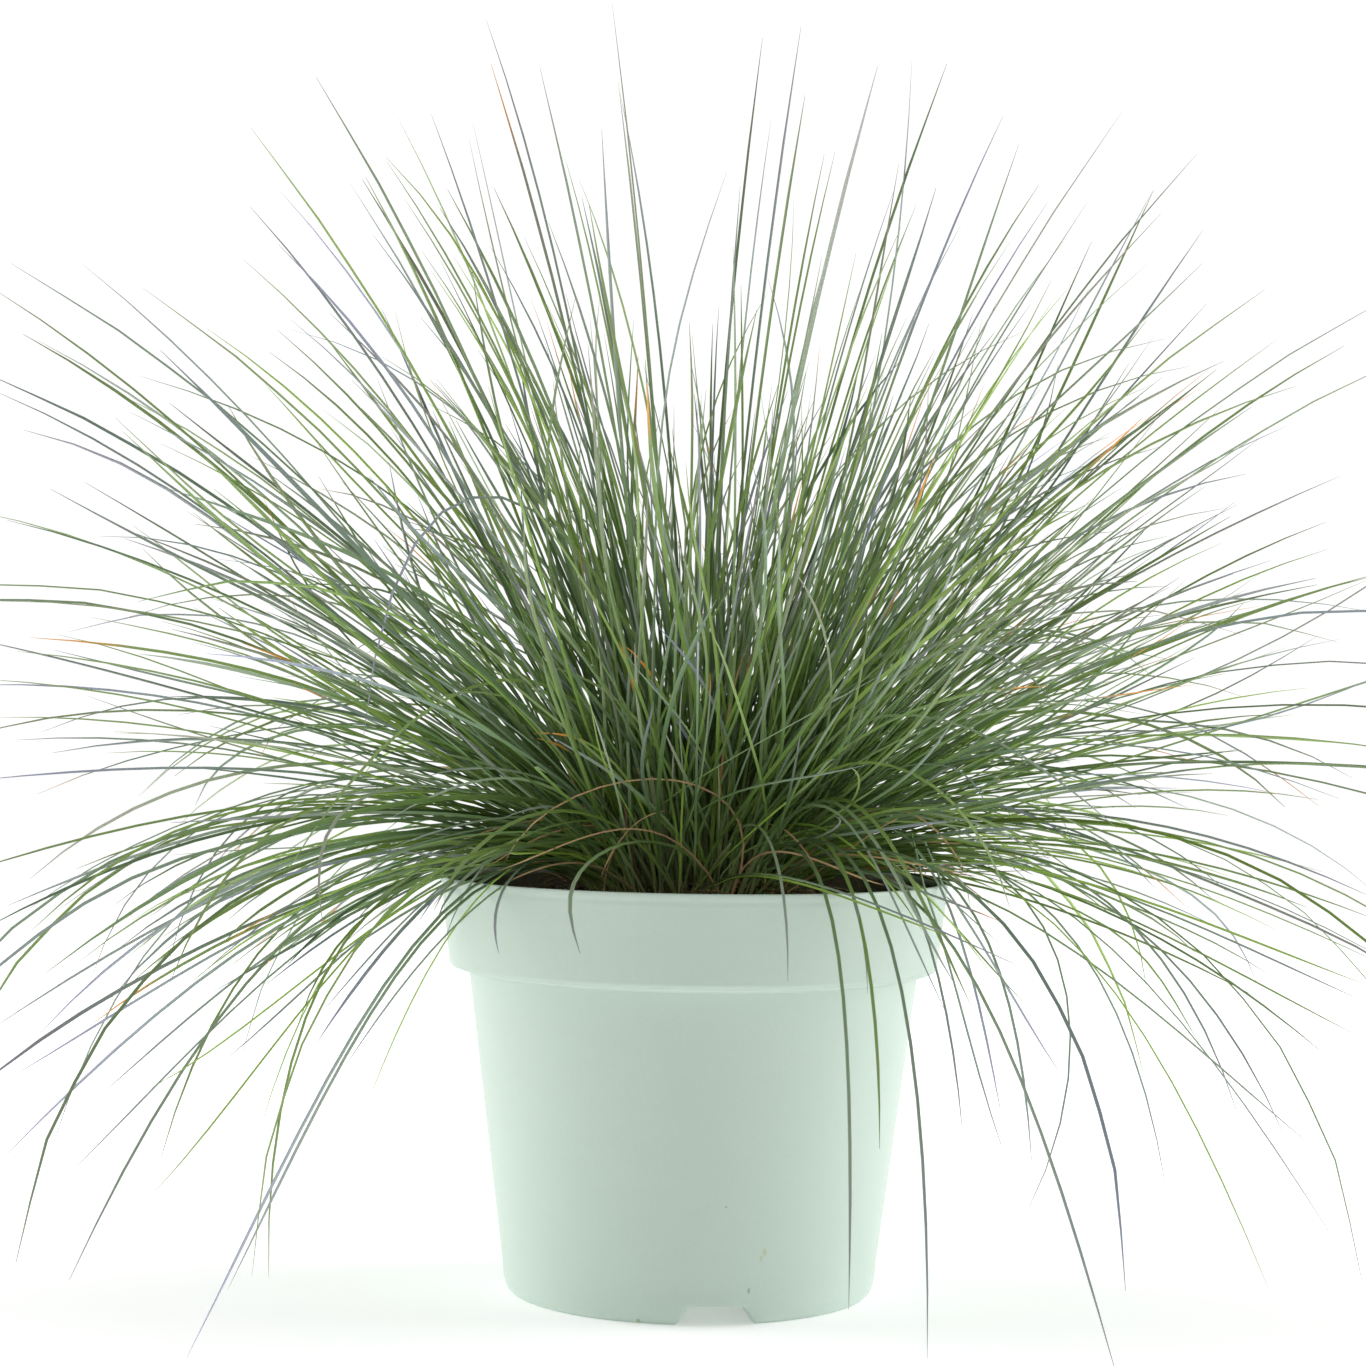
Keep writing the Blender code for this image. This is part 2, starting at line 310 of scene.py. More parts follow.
def potOutline():
    # (radius, height) down the outer side, under the foot, across the floor and up the inside
    p = potShape
    turnRound = p["rimRound"]
    reach = p["collarRadius"] - p["bodyTopRadius"]
    drop = p["collarTurnHeight"] - p["collarFoot"]
    ledge = (p["bodyTopRadius"] + 1.6 * p["ledgeOut"], p["collarFoot"] - 0.5 * p["ledgeOut"])
    footInside = p["footRadius"] - p["footWidth"]
    wall = p["wall"]
    outer = arc((rimRadius - turnRound, rimHeight - turnRound), (turnRound, turnRound), 90.0, 0.0, 6)
    collarTurn = (p["collarRadius"], p["collarTurnHeight"])
    outer += straight((rimRadius, rimHeight - 2.0 * turnRound), collarTurn, 34)
    outer += arc((p["collarRadius"] - p["cornerRound"], p["collarTurnHeight"]),
                 (p["cornerRound"], 0.0004 - drop), 0.0, 86.0, 12)
    outer += [ledge, (p["bodyTopRadius"] + 0.9 * p["ledgeOut"], p["collarFoot"] - 1.4 * p["ledgeOut"])]
    bodyTop = (p["bodyTopRadius"], p["collarFoot"] - 1.9 * p["ledgeOut"])
    bodyLow = (p["bodyLowRadius"] + 0.0006, p["bodyLowHeight"] + 0.004)
    outer += straight(bodyTop, bodyLow, 30)
    footTurn = p["bodyLowHeight"] + 0.004
    outer += arc((p["footRadius"] - 0.0002, footTurn), (0.0028, -footTurn + 0.0004), 0.0, 80.0, 8)
    outer += arc((p["footRadius"] - 0.0004, 0.0005), (0.0004, 0.0005), 0.0, -90.0, 4)
    under = straight((p["footRadius"] - 0.001, 0.0), (footInside + 0.0005, 0.0), 3)
    under += arc((footInside + 0.0005, 0.0005), (0.0005, 0.0005), -90.0, -180.0, 4)
    under += straight((footInside, 0.0012), (footInside - 0.0006, p["floorUnderside"]), 3)
    under += straight((footInside - 0.0006, p["floorUnderside"]), (0.0, p["floorUnderside"]), 8)
    inner = straight((0.0, p["floorTop"]), (p["bodyLowRadius"] - wall - 0.001, p["floorTop"]), 8)[1:]
    inner += straight((p["bodyLowRadius"] - wall, p["floorTop"] + 0.001),
                      (p["bodyTopRadius"] - wall, p["collarFoot"] + wall), 12)
    inner += squarerArc((p["bodyTopRadius"] - wall, p["collarTurnHeight"]), (reach, 0.6 * wall - drop),
                        90.0, 0.0, 10)
    inner += straight((p["collarRadius"] - wall, p["collarTurnHeight"] + 0.001),
                      (rimRadius - wall, rimHeight - 0.0004), 12)
    inner += arc((rimRadius - wall + 0.0003, rimHeight - 0.0003), (0.0003, 0.0003), 180.0, 90.0, 3)
    return outer, under, inner


def grooved(radius, height):
    # a shallow round-bottomed groove runs round the outside a little below the rim
    away = np.abs(height - (rimHeight - potShape["grooveDrop"])) / potShape["grooveHalf"]
    return radius - potShape["grooveDepth"] * np.clip(1.0 - away**2, 0.0, 1.0)


def notchLift(azimuth):
    # how far the foot is raised: full height inside a notch, falling in a straight slope at its sides
    spacing = 2.0 * math.pi / potShape["notchCount"]
    offset = azimuth - math.radians(potShape["notchFirst"])
    away = np.abs((offset + spacing / 2.0) % spacing - spacing / 2.0) * potShape["footRadius"]
    slope = (potShape["notchLowHalf"] - away) / (potShape["notchLowHalf"] - potShape["notchTopHalf"])
    return potShape["notchHeight"] * np.clip(slope, 0.0, 1.0)


def turnedPot():
    # every outline point is carried once round the axis; the foot is lifted at the notches
    outer, under, inner = potOutline()
    lines = np.array(outer + under + inner)
    segments = potShape["segments"]
    azimuth = np.linspace(0.0, 2.0 * math.pi, segments, endpoint=False)
    radius, height = lines[:, 0], lines[:, 1]
    radius = np.where(np.arange(len(lines)) < len(outer), grooved(radius, height), radius)
    onFoot = (np.arange(len(lines)) < len(outer) + len(under)) & (height < potShape["floorUnderside"])
    lift = notchLift(azimuth)[None, :]
    share = 1.0 - height[:, None] / potShape["floorUnderside"]
    raised = np.where(onFoot[:, None], height[:, None] + lift * np.clip(share, 0.0, 1.0), height[:, None])
    x = radius[:, None] * np.cos(azimuth)
    y = radius[:, None] * np.sin(azimuth)
    points = np.stack([x, y, raised], axis=-1).reshape(-1, 3)
    rows = len(lines)
    breakRow = len(outer) + len(under)
    faces = gridFaces(rows, segments).reshape(rows - 1, segments, 4)
    faces = np.delete(faces, breakRow - 1, axis=0).reshape(-1, 4)[:, ::-1]
    lastRing = (rows - 1) * segments + np.arange(segments)
    closing = np.stack([lastRing, np.arange(segments), np.roll(np.arange(segments), -1),
                        np.roll(lastRing, -1)], axis=-1)[:, ::-1]
    underRing = (breakRow - 1) * segments + np.arange(segments)
    floorRing = breakRow * segments + np.arange(segments)
    middles = np.array([(0.0, 0.0, potShape["floorUnderside"]), (0.0, 0.0, potShape["floorTop"])])
    underFan = fanFaces(underRing, len(points), False)
    floorFan = fanFaces(floorRing, len(points) + 1, True)
    return np.concatenate([points, middles]), [faces, closing, underFan, floorFan]


def drainCutter():
    # one mesh of short upright cylinders, one for each drainage hole
    shape = bmesh.new()
    middle = (potShape["floorTop"] + potShape["floorUnderside"]) / 2.0
    for k in range(potShape["drainCount"]):
        turn = Matrix.Rotation(2.0 * math.pi * k / potShape["drainCount"], 4, "Z")
        place = turn @ Matrix.Translation((potShape["drainCircle"], 0.0, middle))
        bmesh.ops.create_cone(shape, cap_ends=True, segments=32, radius1=potShape["drainRadius"],
                              radius2=potShape["drainRadius"], depth=0.008, matrix=place)
    mesh = bpy.data.meshes.new("drainCutter")
    shape.to_mesh(mesh)
    shape.free()
    cutter = bpy.data.objects.new("drainCutter", mesh)
    bpy.context.scene.collection.objects.link(cutter)
    return cutter


def cutHoles(piece, cutter):
    # the cutter is taken out of the piece, and then removed itself
    boolean = piece.modifiers.new("holes", "BOOLEAN")
    boolean.operation = "DIFFERENCE"
    boolean.solver = "EXACT"
    boolean.object = cutter
    evaluated = piece.evaluated_get(bpy.context.evaluated_depsgraph_get())
    finished = bpy.data.meshes.new_from_object(evaluated)
    piece.modifiers.clear()
    piece.data = finished
    bpy.data.objects.remove(cutter, do_unlink=True)


potMarks = (
    # place on the wall, reach along each axis, colour: dirt the pot carries
    {"at": (0.0229, -0.058, 0.0215), "reach": (0.0006, 0.02, 0.0012), "colour": (0.50, 0.56, 0.30)},
    {"at": (0.0240, -0.058, 0.0235), "reach": (0.0007, 0.02, 0.0014), "colour": (0.46, 0.54, 0.24)},
    {"at": (0.0191, -0.058, 0.0112), "reach": (0.0005, 0.02, 0.0011), "colour": (0.20, 0.26, 0.22)},
    {"at": (-0.0157, -0.058, 0.0010), "reach": (0.0008, 0.02, 0.0008), "colour": (0.30, 0.32, 0.12)},
    {"at": (0.0115, -0.060, 0.0385), "reach": (0.0004, 0.02, 0.0004), "colour": (0.18, 0.22, 0.19)},
)


def potFinish():
    # mint plastic = two greens mixed by cloud, times grain and streak; then the marks, the inner wall made
    # dark brown and rougher from just below the rim down, and a painted highlight line under the collar:
    # each a colour mixed in by its own share
    bench = Bench("mintPlastic", 0.42)
    place = bench.place()
    cloud = bench.noise(place, 9.0, 2.0)
    grain = bench.noise(place, 900.0, 2.0)
    streak = bench.noise(bench.stretched(place, (1.0, 1.0, 6.0)), 40.0, 3.0)
    base = bench.mix((0.580, 0.694, 0.612), (0.545, 0.664, 0.588), cloud)
    colour = bench.tinted(base, 0.965 + 0.05 * grain + 0.02 * streak)
    for mark in potMarks:
        shifted = bench.node("ShaderNodeVectorMath", {"operation": "SUBTRACT"}, {0: place, 1: mark["at"]})
        scaled = bench.node("ShaderNodeVectorMath", {"operation": "DIVIDE"}, {0: shifted, 1: mark["reach"]})
        away = bench.node("ShaderNodeVectorMath", {"operation": "LENGTH"}, {0: scaled}, "Value")
        colour = bench.mix(colour, mark["colour"], ((1.0 - away) * 3.0).held() * 0.6)
    height = bench.split(place)[2]
    # the inner wall turns dark brown and rougher from just below the rim down
    innerDark = ((rimHeight + 0.0005 - height) * 300.0 + cloud * 0.8 - 0.5).held() * bench.attribute("inside")
    innerBrown = bench.mix((0.030, 0.021, 0.012), (0.120, 0.085, 0.050), bench.noise(place, 420.0, 4.0))
    colour = bench.mix(colour, innerBrown, innerDark * 0.94)
    # painted highlight: a thin pale line along the ledge where the collar meets the body
    paintedHighlightLine = (1.0 - ((height - potShape["collarFoot"]) * 2200.0) ** 2.0).held()
    bench.set("Base Color", bench.mix(colour, (0.78, 0.88, 0.80), paintedHighlightLine * 0.7))
    bench.set("Roughness", 0.36 + 0.14 * bench.noise(place, 140.0, 4.0) + 0.5 * innerDark)
    bench.bump(grain * 0.6 + streak * 0.4, 0.00006, 0.5)
    bench.set("Subsurface Weight", 0.12)
    bench.set("Subsurface Radius", (0.004, 0.004, 0.004))
    bench.set("Subsurface Scale", 1.0)
    return bench.material


def makePot():
    # the turned shell; inside is 1 on the rows after the outer side and the underside; then the holes
    points, faces = turnedPot()
    pot = addMesh("nursery_pot", points, faces, sharpAngle=40.0)
    outer, under, inner = potOutline()
    inside = np.repeat(np.arange(len(outer + under + inner)) >= len(outer + under), potShape["segments"])
    addValues(pot, "inside", np.concatenate([inside, [0.0, 1.0]]))
    cutHoles(pot, drainCutter())
    pot.data.shade_smooth()
    pot.data.set_sharp_from_angle(angle=math.radians(40.0))
    seat(pot, "pot", potFinish())
    return pot


makePot()
print("pot made")

soilShape = {
    "rings": 70,
    "segments": 220,
    "roughness": 0.0009,
    "crumbs": 1300,
    "crumbSize": (0.0005, 0.0019),
    "edgeHeight": 0.1302,
}


def soilTop(x, y):
    # a low mound: highest in the middle, with lumps of two sizes
    radius = np.hypot(x, y)
    mound = soilHigh.z - 0.0006 - (soilHigh.z - soilShape["edgeHeight"]) * (radius / soilRadius) ** 2
    lumps = rippleField(x, y, 0.011, 5) * 0.6 + rippleField(x, y, 0.0036, 6) * 0.4
    settle = 1.0 - smoothStep(soilRadius - 0.006, soilRadius, radius)
    return mound + soilShape["roughness"] * lumps * (0.3 + 0.7 * settle)


def soilSolid():
    # the rough top as a grid of rings, and under it the plain sides and base, inside the pot's wall
    p = potShape
    count = soilShape["segments"]
    azimuth = np.linspace(0.0, 2.0 * math.pi, count, endpoint=False)
    edge = soilRadius - 0.0006
    radii = edge * np.linspace(0.0, 1.0, soilShape["rings"] + 1)[1:]
    x, y = radii[:, None] * np.cos(azimuth), radii[:, None] * np.sin(azimuth)
    top = np.stack([x, y, soilTop(x, y)], axis=-1)
    gap = 0.0005
    reach = p["collarRadius"] - p["bodyTopRadius"]
    drop = p["collarTurnHeight"] - p["collarFoot"]
    turned = squarerArc((p["bodyTopRadius"] - p["wall"] - gap, p["collarTurnHeight"] + gap),
                        (reach, 0.6 * p["wall"] - drop), 0.0, 90.0, 8)
    side = np.array([(edge - 0.0004, p["collarTurnHeight"] + 0.008), *turned,
                     (p["bodyLowRadius"] - p["wall"] - gap - 0.0012, p["floorTop"] + gap)])
    lower = np.stack([side[:, :1] * np.cos(azimuth), side[:, :1] * np.sin(azimuth),
                      np.repeat(side[:, 1:], count, axis=1)], axis=-1)
    points = np.concatenate([top, lower]).reshape(-1, 3)
    rows = len(points) // count
    middles = np.array([(0.0, 0.0, float(soilTop(np.zeros(1), np.zeros(1))[0])),
                        (0.0, 0.0, p["floorTop"] + gap)])
    faces = gridFaces(rows, count)[:, ::-1]
    topFan = fanFaces(np.arange(count), len(points), True)
    baseFan = fanFaces((rows - 1) * count + np.arange(count), len(points) + 1, False)
    return np.concatenate([points, middles]), [faces, topFan, baseFan]


def lumpTemplate():
    # the twelve corners and twenty faces of a small ball, to be squashed and turned for each crumb
    shape = bmesh.new()
    bmesh.ops.create_icosphere(shape, subdivisions=1, radius=1.0)
    shape.verts.ensure_lookup_table()
    corners = np.array([v.co for v in shape.verts])
    faces = np.array([[v.index for v in f.verts] for f in shape.faces])
    shape.free()
    return corners, faces


def turnMatrices(chance, count):
    # random turns: unit quaternions drawn evenly, written out as matrices
    quaternion = chance.normal(size=(4, count))
    w, x, y, z = quaternion / np.linalg.norm(quaternion, axis=0)
    rows = [
        [1 - 2 * (y * y + z * z), 2 * (x * y - z * w), 2 * (x * z + y * w)],
        [2 * (x * y + z * w), 1 - 2 * (x * x + z * z), 2 * (y * z - x * w)],
        [2 * (x * z - y * w), 2 * (y * z + x * w), 1 - 2 * (x * x + y * y)],
    ]
    return np.moveaxis(np.array(rows), -1, 0)


def crumbs(seed, count, inner, outer, height):
    # small uneven lumps lying half sunk in a surface: place, size and turn are drawn for each
    chance = np.random.default_rng(seed)
    corners, faces = lumpTemplate()
    azimuth = chance.uniform(0.0, 2.0 * math.pi, count)
    radius = np.sqrt(chance.uniform(inner**2, outer**2, count))
    x, y = radius * np.cos(azimuth), radius * np.sin(azimuth)
    small, large = soilShape["crumbSize"]
    size = small + (large - small) * chance.uniform(0.0, 1.0, count) ** 2.2
    squash = chance.uniform(0.45, 1.25, (count, 1, 3))
    dents = chance.uniform(0.78, 1.18, (count, len(corners), 1))
    local = np.einsum("nij,nkj->nki", turnMatrices(chance, count), corners * dents * squash)
    centre = np.stack([x, y, height(x, y) + size * 0.25], axis=-1)
    points = centre[:, None, :] + local * size[:, None, None]
    offsets = (np.arange(count) * len(corners))[:, None, None]
    tone = np.repeat(chance.uniform(0.0, 1.0, count), len(corners))
    return points.reshape(-1, 3), (faces[None] + offsets).reshape(-1, 3), tone


def soilFinish():
    # two browns mixed by mottle; where crumbTone is above 0, a lump takes its own colour from the ramp
    bench = Bench("pottingSoil", 0.93)
    place = bench.place()
    tone = bench.attribute("crumbTone")
    mottle = bench.noise(place, 260.0, 4.0)
    patch = bench.noise(place, 45.0, 2.0)
    dark = bench.mix((0.022, 0.016, 0.010), (0.075, 0.048, 0.028), mottle)
    stops = [(0.0, (0.020, 0.014, 0.009)), (0.55, (0.060, 0.038, 0.022)), (0.80, (0.120, 0.074, 0.040)),
             (0.95, (0.21, 0.145, 0.085)), (1.0, (0.36, 0.31, 0.24))]
    chips = bench.node("ShaderNodeValToRGB", {"stops": stops}, {0: tone}, "Color")
    colour = bench.mix(dark, chips, (tone * 40.0).held())
    bench.set("Base Color", bench.tinted(colour, 0.7 + 0.6 * patch))
    bench.bump(bench.noise(place, 700.0, 4.0), 0.0004, 0.8)
    return bench.material


def makeSoil():
    # the plug with its loose crumbs, as one mesh
    points, faces = soilSolid()
    loose, looseFaces, tone = crumbs(21, soilShape["crumbs"], 0.0, soilRadius - 0.0022, soilTop)
    everything = np.concatenate([points, loose])
    soil = addMesh("soil_plug", everything, [*faces, looseFaces + len(points)], sharpAngle=50.0)
    addValues(soil, "crumbTone", np.concatenate([np.zeros(len(points)), 0.03 + 0.97 * tone]))
    seat(soil, "potting_soil", soilFinish())


makeSoil()
print("soil made")

bladeShape = {
    "steps": 15,
    "liftShare": 0.30,  # margins stand above the middle, as shares of the half width
    "grooveShare": 0.04,
    "keelShare": 0.80,
    "tipStart": 0.84,  # where the last taper begins, as a share of the length
    "floorClear": 0.0016,
    "rimClear": 0.0011,
}


def directions(angle, course):
    # the unit vector leaning from upright by an angle towards a course: (sin a cos c, sin a sin c, cos a)
    level = np.sin(angle)
    return np.stack([level * np.cos(course), level * np.sin(course), np.cos(angle)], axis=-1)


def bladePaths(b, steps):
    # angle from upright = lean * (root..1 over the first fifth) + turn * s^power + a ripple, and
    # course = heading + swing * s^1.3 + a ripple; the line is the running sum of its direction over s
    share = np.linspace(0.0, 1.0, steps + 1)[None, :]
    column = {key: value[:, None] for key, value in b.items() if value.ndim == 1}
    ripple = np.sin(2.0 * math.pi * (column["waves"] * share + column["phase"]))
    sideRipple = np.cos(2.0 * math.pi * (column["waves"] * share * 0.8 + column["phase"]))
    root = column["root"] + (1.0 - column["root"]) * smoothStep(0.0, 0.22, share)
    angle = column["lean"] * root + column["turn"] * share ** column["power"]
    angle = angle + column["ripple"] * ripple * share
    course = column["heading"] + column["swing"] * share**1.3 + column["sideRipple"] * sideRipple * share
    direction = directions(angle, course)
    stride = (direction[:, 1:] + direction[:, :-1]) / 2.0 * (column["length"] / steps)[..., None]
    walked = np.concatenate([np.zeros((len(b["base"]), 1, 3)), np.cumsum(stride, axis=1)], axis=1)
    return b["base"][:, None, :] + walked


def clearRim(points):
    # a blade that would meet the rim is raised there, and everything beyond is raised with it
    radius = np.hypot(points[..., 0], points[..., 1])
    over = (radius > rimRadius - 0.012) & (radius < rimRadius + 0.004)
    firstTime = np.cumsum(radius > rimRadius + 0.006, axis=1) < 1
    need = np.where(over & firstTime, rimHeight + bladeShape["rimClear"] - points[..., 2], 0.0).max(axis=1)
    lift = np.clip(need, 0.0, None)[:, None] * smoothStep(0.030, rimRadius - 0.012, radius)
    raised = points.copy()
    raised[..., 2] += lift
    return raised


def clearWall(points):
    # below the rim no blade comes nearer to the axis than the pot's wall
    radius = np.hypot(points[..., 0], points[..., 1])
    height = np.clip(points[..., 2] / potShape["collarFoot"], 0.0, 1.0)
    body = potShape["bodyLowRadius"] + (potShape["bodyTopRadius"] - potShape["bodyLowRadius"]) * height
    wall = np.where(points[..., 2] > potShape["collarFoot"] - 0.004, rimRadius, body) + 0.0016
    outside = (points[..., 2] < rimHeight) & (np.cumsum(radius > rimRadius - 0.003, axis=1) > 0)
    push = np.where(outside & (radius < wall), wall / np.maximum(radius, 1e-6), 1.0)
    moved = points.copy()
    moved[..., 0] *= push
    moved[..., 1] *= push
    return moved


def clearSoil(points):
    # inside the pot a blade stays above the soil
    radius = np.hypot(points[..., 0], points[..., 1])
    inside = (radius > crownRadius * 0.8) & (radius < rimRadius - 0.002)
    lowest = np.where(inside, soilHigh.z + 0.0012 - 0.006 * (radius / soilRadius) ** 2, 0.0)
    raised = points.copy()
    raised[..., 2] = np.maximum(raised[..., 2], lowest)
    return raised


def shortenedToFloor(length, points):
    # the length at which a blade's lowest point stays just above the surface that the pot stands on
    low = points[..., 2].min(axis=1)
    start = points[:, 0, 2]
    room = (start - bladeShape["floorClear"]) / np.maximum(start - low, 1e-6)
    return np.where(low < bladeShape["floorClear"], length * np.clip(room, 0.2, 1.0) * 0.995, length)


def bladeWidths(halfWidth, share):
    # narrower at the sheath, full by a tenth of the way, a slow taper, then a quick one to a fine tip
    start = 0.75 + 0.25 * smoothStep(0.0, 0.12, share)
    tipward = np.clip((share - bladeShape["tipStart"]) / (1.0 - bladeShape["tipStart"]), 0.0, 1.0)
    tip = 1.0 - 0.88 * tipward**1.3
    return halfWidth[:, None] * (start * (1.0 - 0.18 * share) * tip)[None, :]


def bladeMesh(name, points, b):
    # a folded section (two margins, a groove above and a keel below) carried along each line
    count, rings = points.shape[:2]
    share = np.linspace(0.0, 1.0, rings)
    along = np.gradient(points, axis=1)
    along /= np.linalg.norm(along, axis=2, keepdims=True)
    course = np.broadcast_to(b["heading"][:, None], (count, rings))
    side = np.stack([-np.sin(course), np.cos(course), np.zeros_like(course)], axis=-1)
    side -= along * (side * along).sum(axis=2, keepdims=True)
    side /= np.linalg.norm(side, axis=2, keepdims=True)
    upper = np.cross(along, side)
    spin = (b["roll"][:, None] + b["twist"][:, None] * share)[..., None]
    across = side * np.cos(spin) + upper * np.sin(spin)
    above = upper * np.cos(spin) - side * np.sin(spin)
    half = bladeWidths(b["halfWidth"], share)[..., None]
    lift, groove, keel = (bladeShape[k] * half for k in ("liftShare", "grooveShare", "keelShare"))
    section = [points + across * half + above * lift, points + above * groove,
               points - across * half + above * lift, points - above * keel]
    corners = np.stack(section, axis=2).reshape(-1, 3)
    grid = gridFaces(rings, 4)
    offsets = (np.arange(count) * rings * 4)[:, None, None]
    sides = (grid[None] + offsets).reshape(-1, 4)
    caps = np.array([[3, 2, 1, 0], [0, 1, 2, 3]]) + np.array([[0], [(rings - 1) * 4]])
    ends = (caps[None] + offsets).reshape(-1, 4)
    piece = addMesh(name, corners, [sides, ends], sharpAngle=85.0)
    shape = (count, rings, 4)
    addValues(piece, "bladeAlong", np.broadcast_to(share[None, :, None], shape))
    # painted highlight: 1 at the margins, 0.4 at the keel, 0 in the groove, which is left darker
    addValues(piece, "bladeMargin", np.broadcast_to(np.array([1.0, 0.0, 1.0, 0.4]), shape))
    addValues(piece, "bladeShade", np.broadcast_to(b["shade"][:, None, None], shape))
    addVectors(piece, "bladeTone", np.broadcast_to(b["tone"][:, None, None, :], (*shape, 3)))
    addMap(piece, bladeMap(count, rings))
    return piece


def bladeMap(count, rings):
    # each blade has its own upright strip of the map: four faces side by side, base to tip upwards
    column = np.arange(4)[None, :] + np.zeros((rings - 1, 1))
    row = np.arange(rings - 1)[:, None] + np.zeros((1, 4))
    u = np.stack([column, column + 1, column + 1, column], axis=-1) / 4.0
    v = np.stack([row, row, row + 1, row + 1], axis=-1) / (rings - 1.0)
    gutter = 0.07
    strip = (np.arange(count)[:, None, None, None] + gutter + (1.0 - 2.0 * gutter) * u[None]) / count
    height = np.broadcast_to(0.01 + 0.98 * v[None], strip.shape)
    sides = np.stack([strip, height], axis=-1).reshape(-1, 2)
    capU = (np.arange(count)[:, None, None] + gutter + np.array([0.75, 0.5, 0.25, 0.0])) / count
    capU = np.broadcast_to(capU, (count, 2, 4))
    capV = np.broadcast_to(np.array([0.01, 0.99])[None, :, None], (count, 2, 4))
    return np.concatenate([sides, np.stack([capU, capV], axis=-1).reshape(-1, 2)])


leafColours = {
    "deep": (0.060, 0.124, 0.030),
    "fresh": (0.178, 0.285, 0.040),
    "bloom": (0.160, 0.245, 0.132),
    "violet": (0.220, 0.226, 0.335),
    "grey": (0.235, 0.228, 0.190),
    "sheath": (0.185, 0.210, 0.095),
    "orange": (0.560, 0.250, 0.050),
    "straw": (0.430, 0.285, 0.150),
}


def leafFinish():
    # bladeTone holds three shares for each blade: yellow-green, waxy bloom, and how far it has dried;
    # leaf = deep to fresh by warmth, to bloom, to violet-grey towards the tip, to the sheath's green at
    # the root, to orange and straw where it has dried; times the blade's shade value; times painted shade
    # along the blade, lighter at the root, darkest a sixth of the way up and lighter again to the tip, with
    # painted light low down in the middle of the clump; times fleck, and a painted highlight on the
    # margins that leaves the groove of the fold darker
    bench = Bench("fescueLeaf", 0.50)
    place = bench.place()
    along = bench.attribute("bladeAlong")
    edgeHighlight = bench.attribute("bladeMargin")
    shade = bench.attribute("bladeShade")
    warmth, bloom, dry = bench.split(bench.attribute("bladeTone", "Vector"))
    drift = bench.noise(place, 55.0, 2.0)
    fleck = bench.noise(place, 420.0, 3.0)
    green = bench.mix(leafColours["deep"], leafColours["fresh"], (warmth + (drift - 0.5) * 0.5).held())
    waxed = bench.mix(green, leafColours["bloom"], (bloom * (0.65 + 0.45 * along)).held())
    tipward = ((along - 0.42) * 1.9).held()
    greyed = bench.mix(leafColours["violet"], leafColours["grey"], (warmth * 1.6 - 0.3).held())
    tipped = bench.mix(waxed, greyed, (tipward * (0.16 + 0.9 * bloom)).held())
    rooted = bench.mix(tipped, leafColours["sheath"], ((0.14 - along) * 8.0).held() * 0.8)
    reach = along - 1.0 + dry * 1.06
    strawShare = (reach * 2.2 + dry * 1.2 - 0.5).held()
    strawy = bench.mix(leafColours["orange"], leafColours["straw"], strawShare)
    leaf = bench.mix(rooted, strawy, (reach * 16.0).held())
    x, y, height = bench.split(place)
    # painted light: low down in the middle of the clump the blades are painted lighter
    middle = 1.0 - bench.rise((x * x + y * y) ** 0.5, 0.045, 0.075)
    middle = middle * (1.0 - bench.rise(height, 0.140, 0.178))
    # painted shade along each blade: lighter at the root, darkest a sixth of the way up, lighter to the tip
    paintedShadeLow = 1.30 - 0.78 * bench.rise(along, 0.0, 0.17) + 0.85 * middle
    paintedShadeAlong = paintedShadeLow + 0.58 * bench.rise(along, 0.22, 0.50) + 0.20 * bench.rise(along, 0.50, 0.80)
    # random fleck, and a painted highlight on the margins that leaves the groove darker
    lights = 0.86 + 0.22 * fleck + 0.14 * edgeHighlight
    bench.set("Base Color", bench.tinted(leaf, shade * paintedShadeAlong * lights))
    bench.set("Specular IOR Level", 0.2)
    return bench.material


leafMaterial = leafFinish()

tuftFill = {
    # for each group: blades in a tuft; how far they stray from the tuft's own line, in degrees; the powers
    # of their bend, low where a blade bends early; bend: the power of the tuft's own line; fuller: share
    # of blades added on the left and taken away on the right, or the other way round where it is below 0;
    # reach: share of the tuft's length; strays: share of blades that bend far out of line
    "heart": {"blades": 17, "heading": 80.0, "lean": 11.0, "turn": 12.0, "powers": (0.8, 1.9),
              "bend": 1.5, "fuller": 0.0, "reach": 0.86, "strays": 0.03},
    "inner": {"blades": 21, "heading": 48.0, "lean": 13.0, "turn": 14.0, "powers": (0.8, 1.9),
              "bend": 1.5, "fuller": 0.0, "reach": 0.90, "strays": 0.05},
    "middle": {"blades": 30, "heading": 34.0, "lean": 14.0, "turn": 18.0, "powers": (0.7, 1.7),
               "bend": 1.5, "fuller": -0.24, "reach": 0.96, "strays": 0.08},
    "outer": {"blades": 35, "heading": 28.0, "lean": 15.0, "turn": 20.0, "powers": (0.6, 1.6),
              "bend": 1.5, "fuller": -0.24, "reach": 1.0, "strays": 0.13},
    "arching": {"blades": 37, "heading": 25.0, "lean": 14.0, "turn": 20.0, "powers": (0.5, 1.4),
                "bend": 1.5, "fuller": -0.28, "reach": 1.0, "strays": 0.14},
    "trailing": {"blades": 17, "heading": 20.0, "lean": 13.0, "turn": 22.0, "powers": (0.4, 1.2),
                 "bend": 1.0, "fuller": 0.50, "reach": 1.0, "strays": 0.12},
}
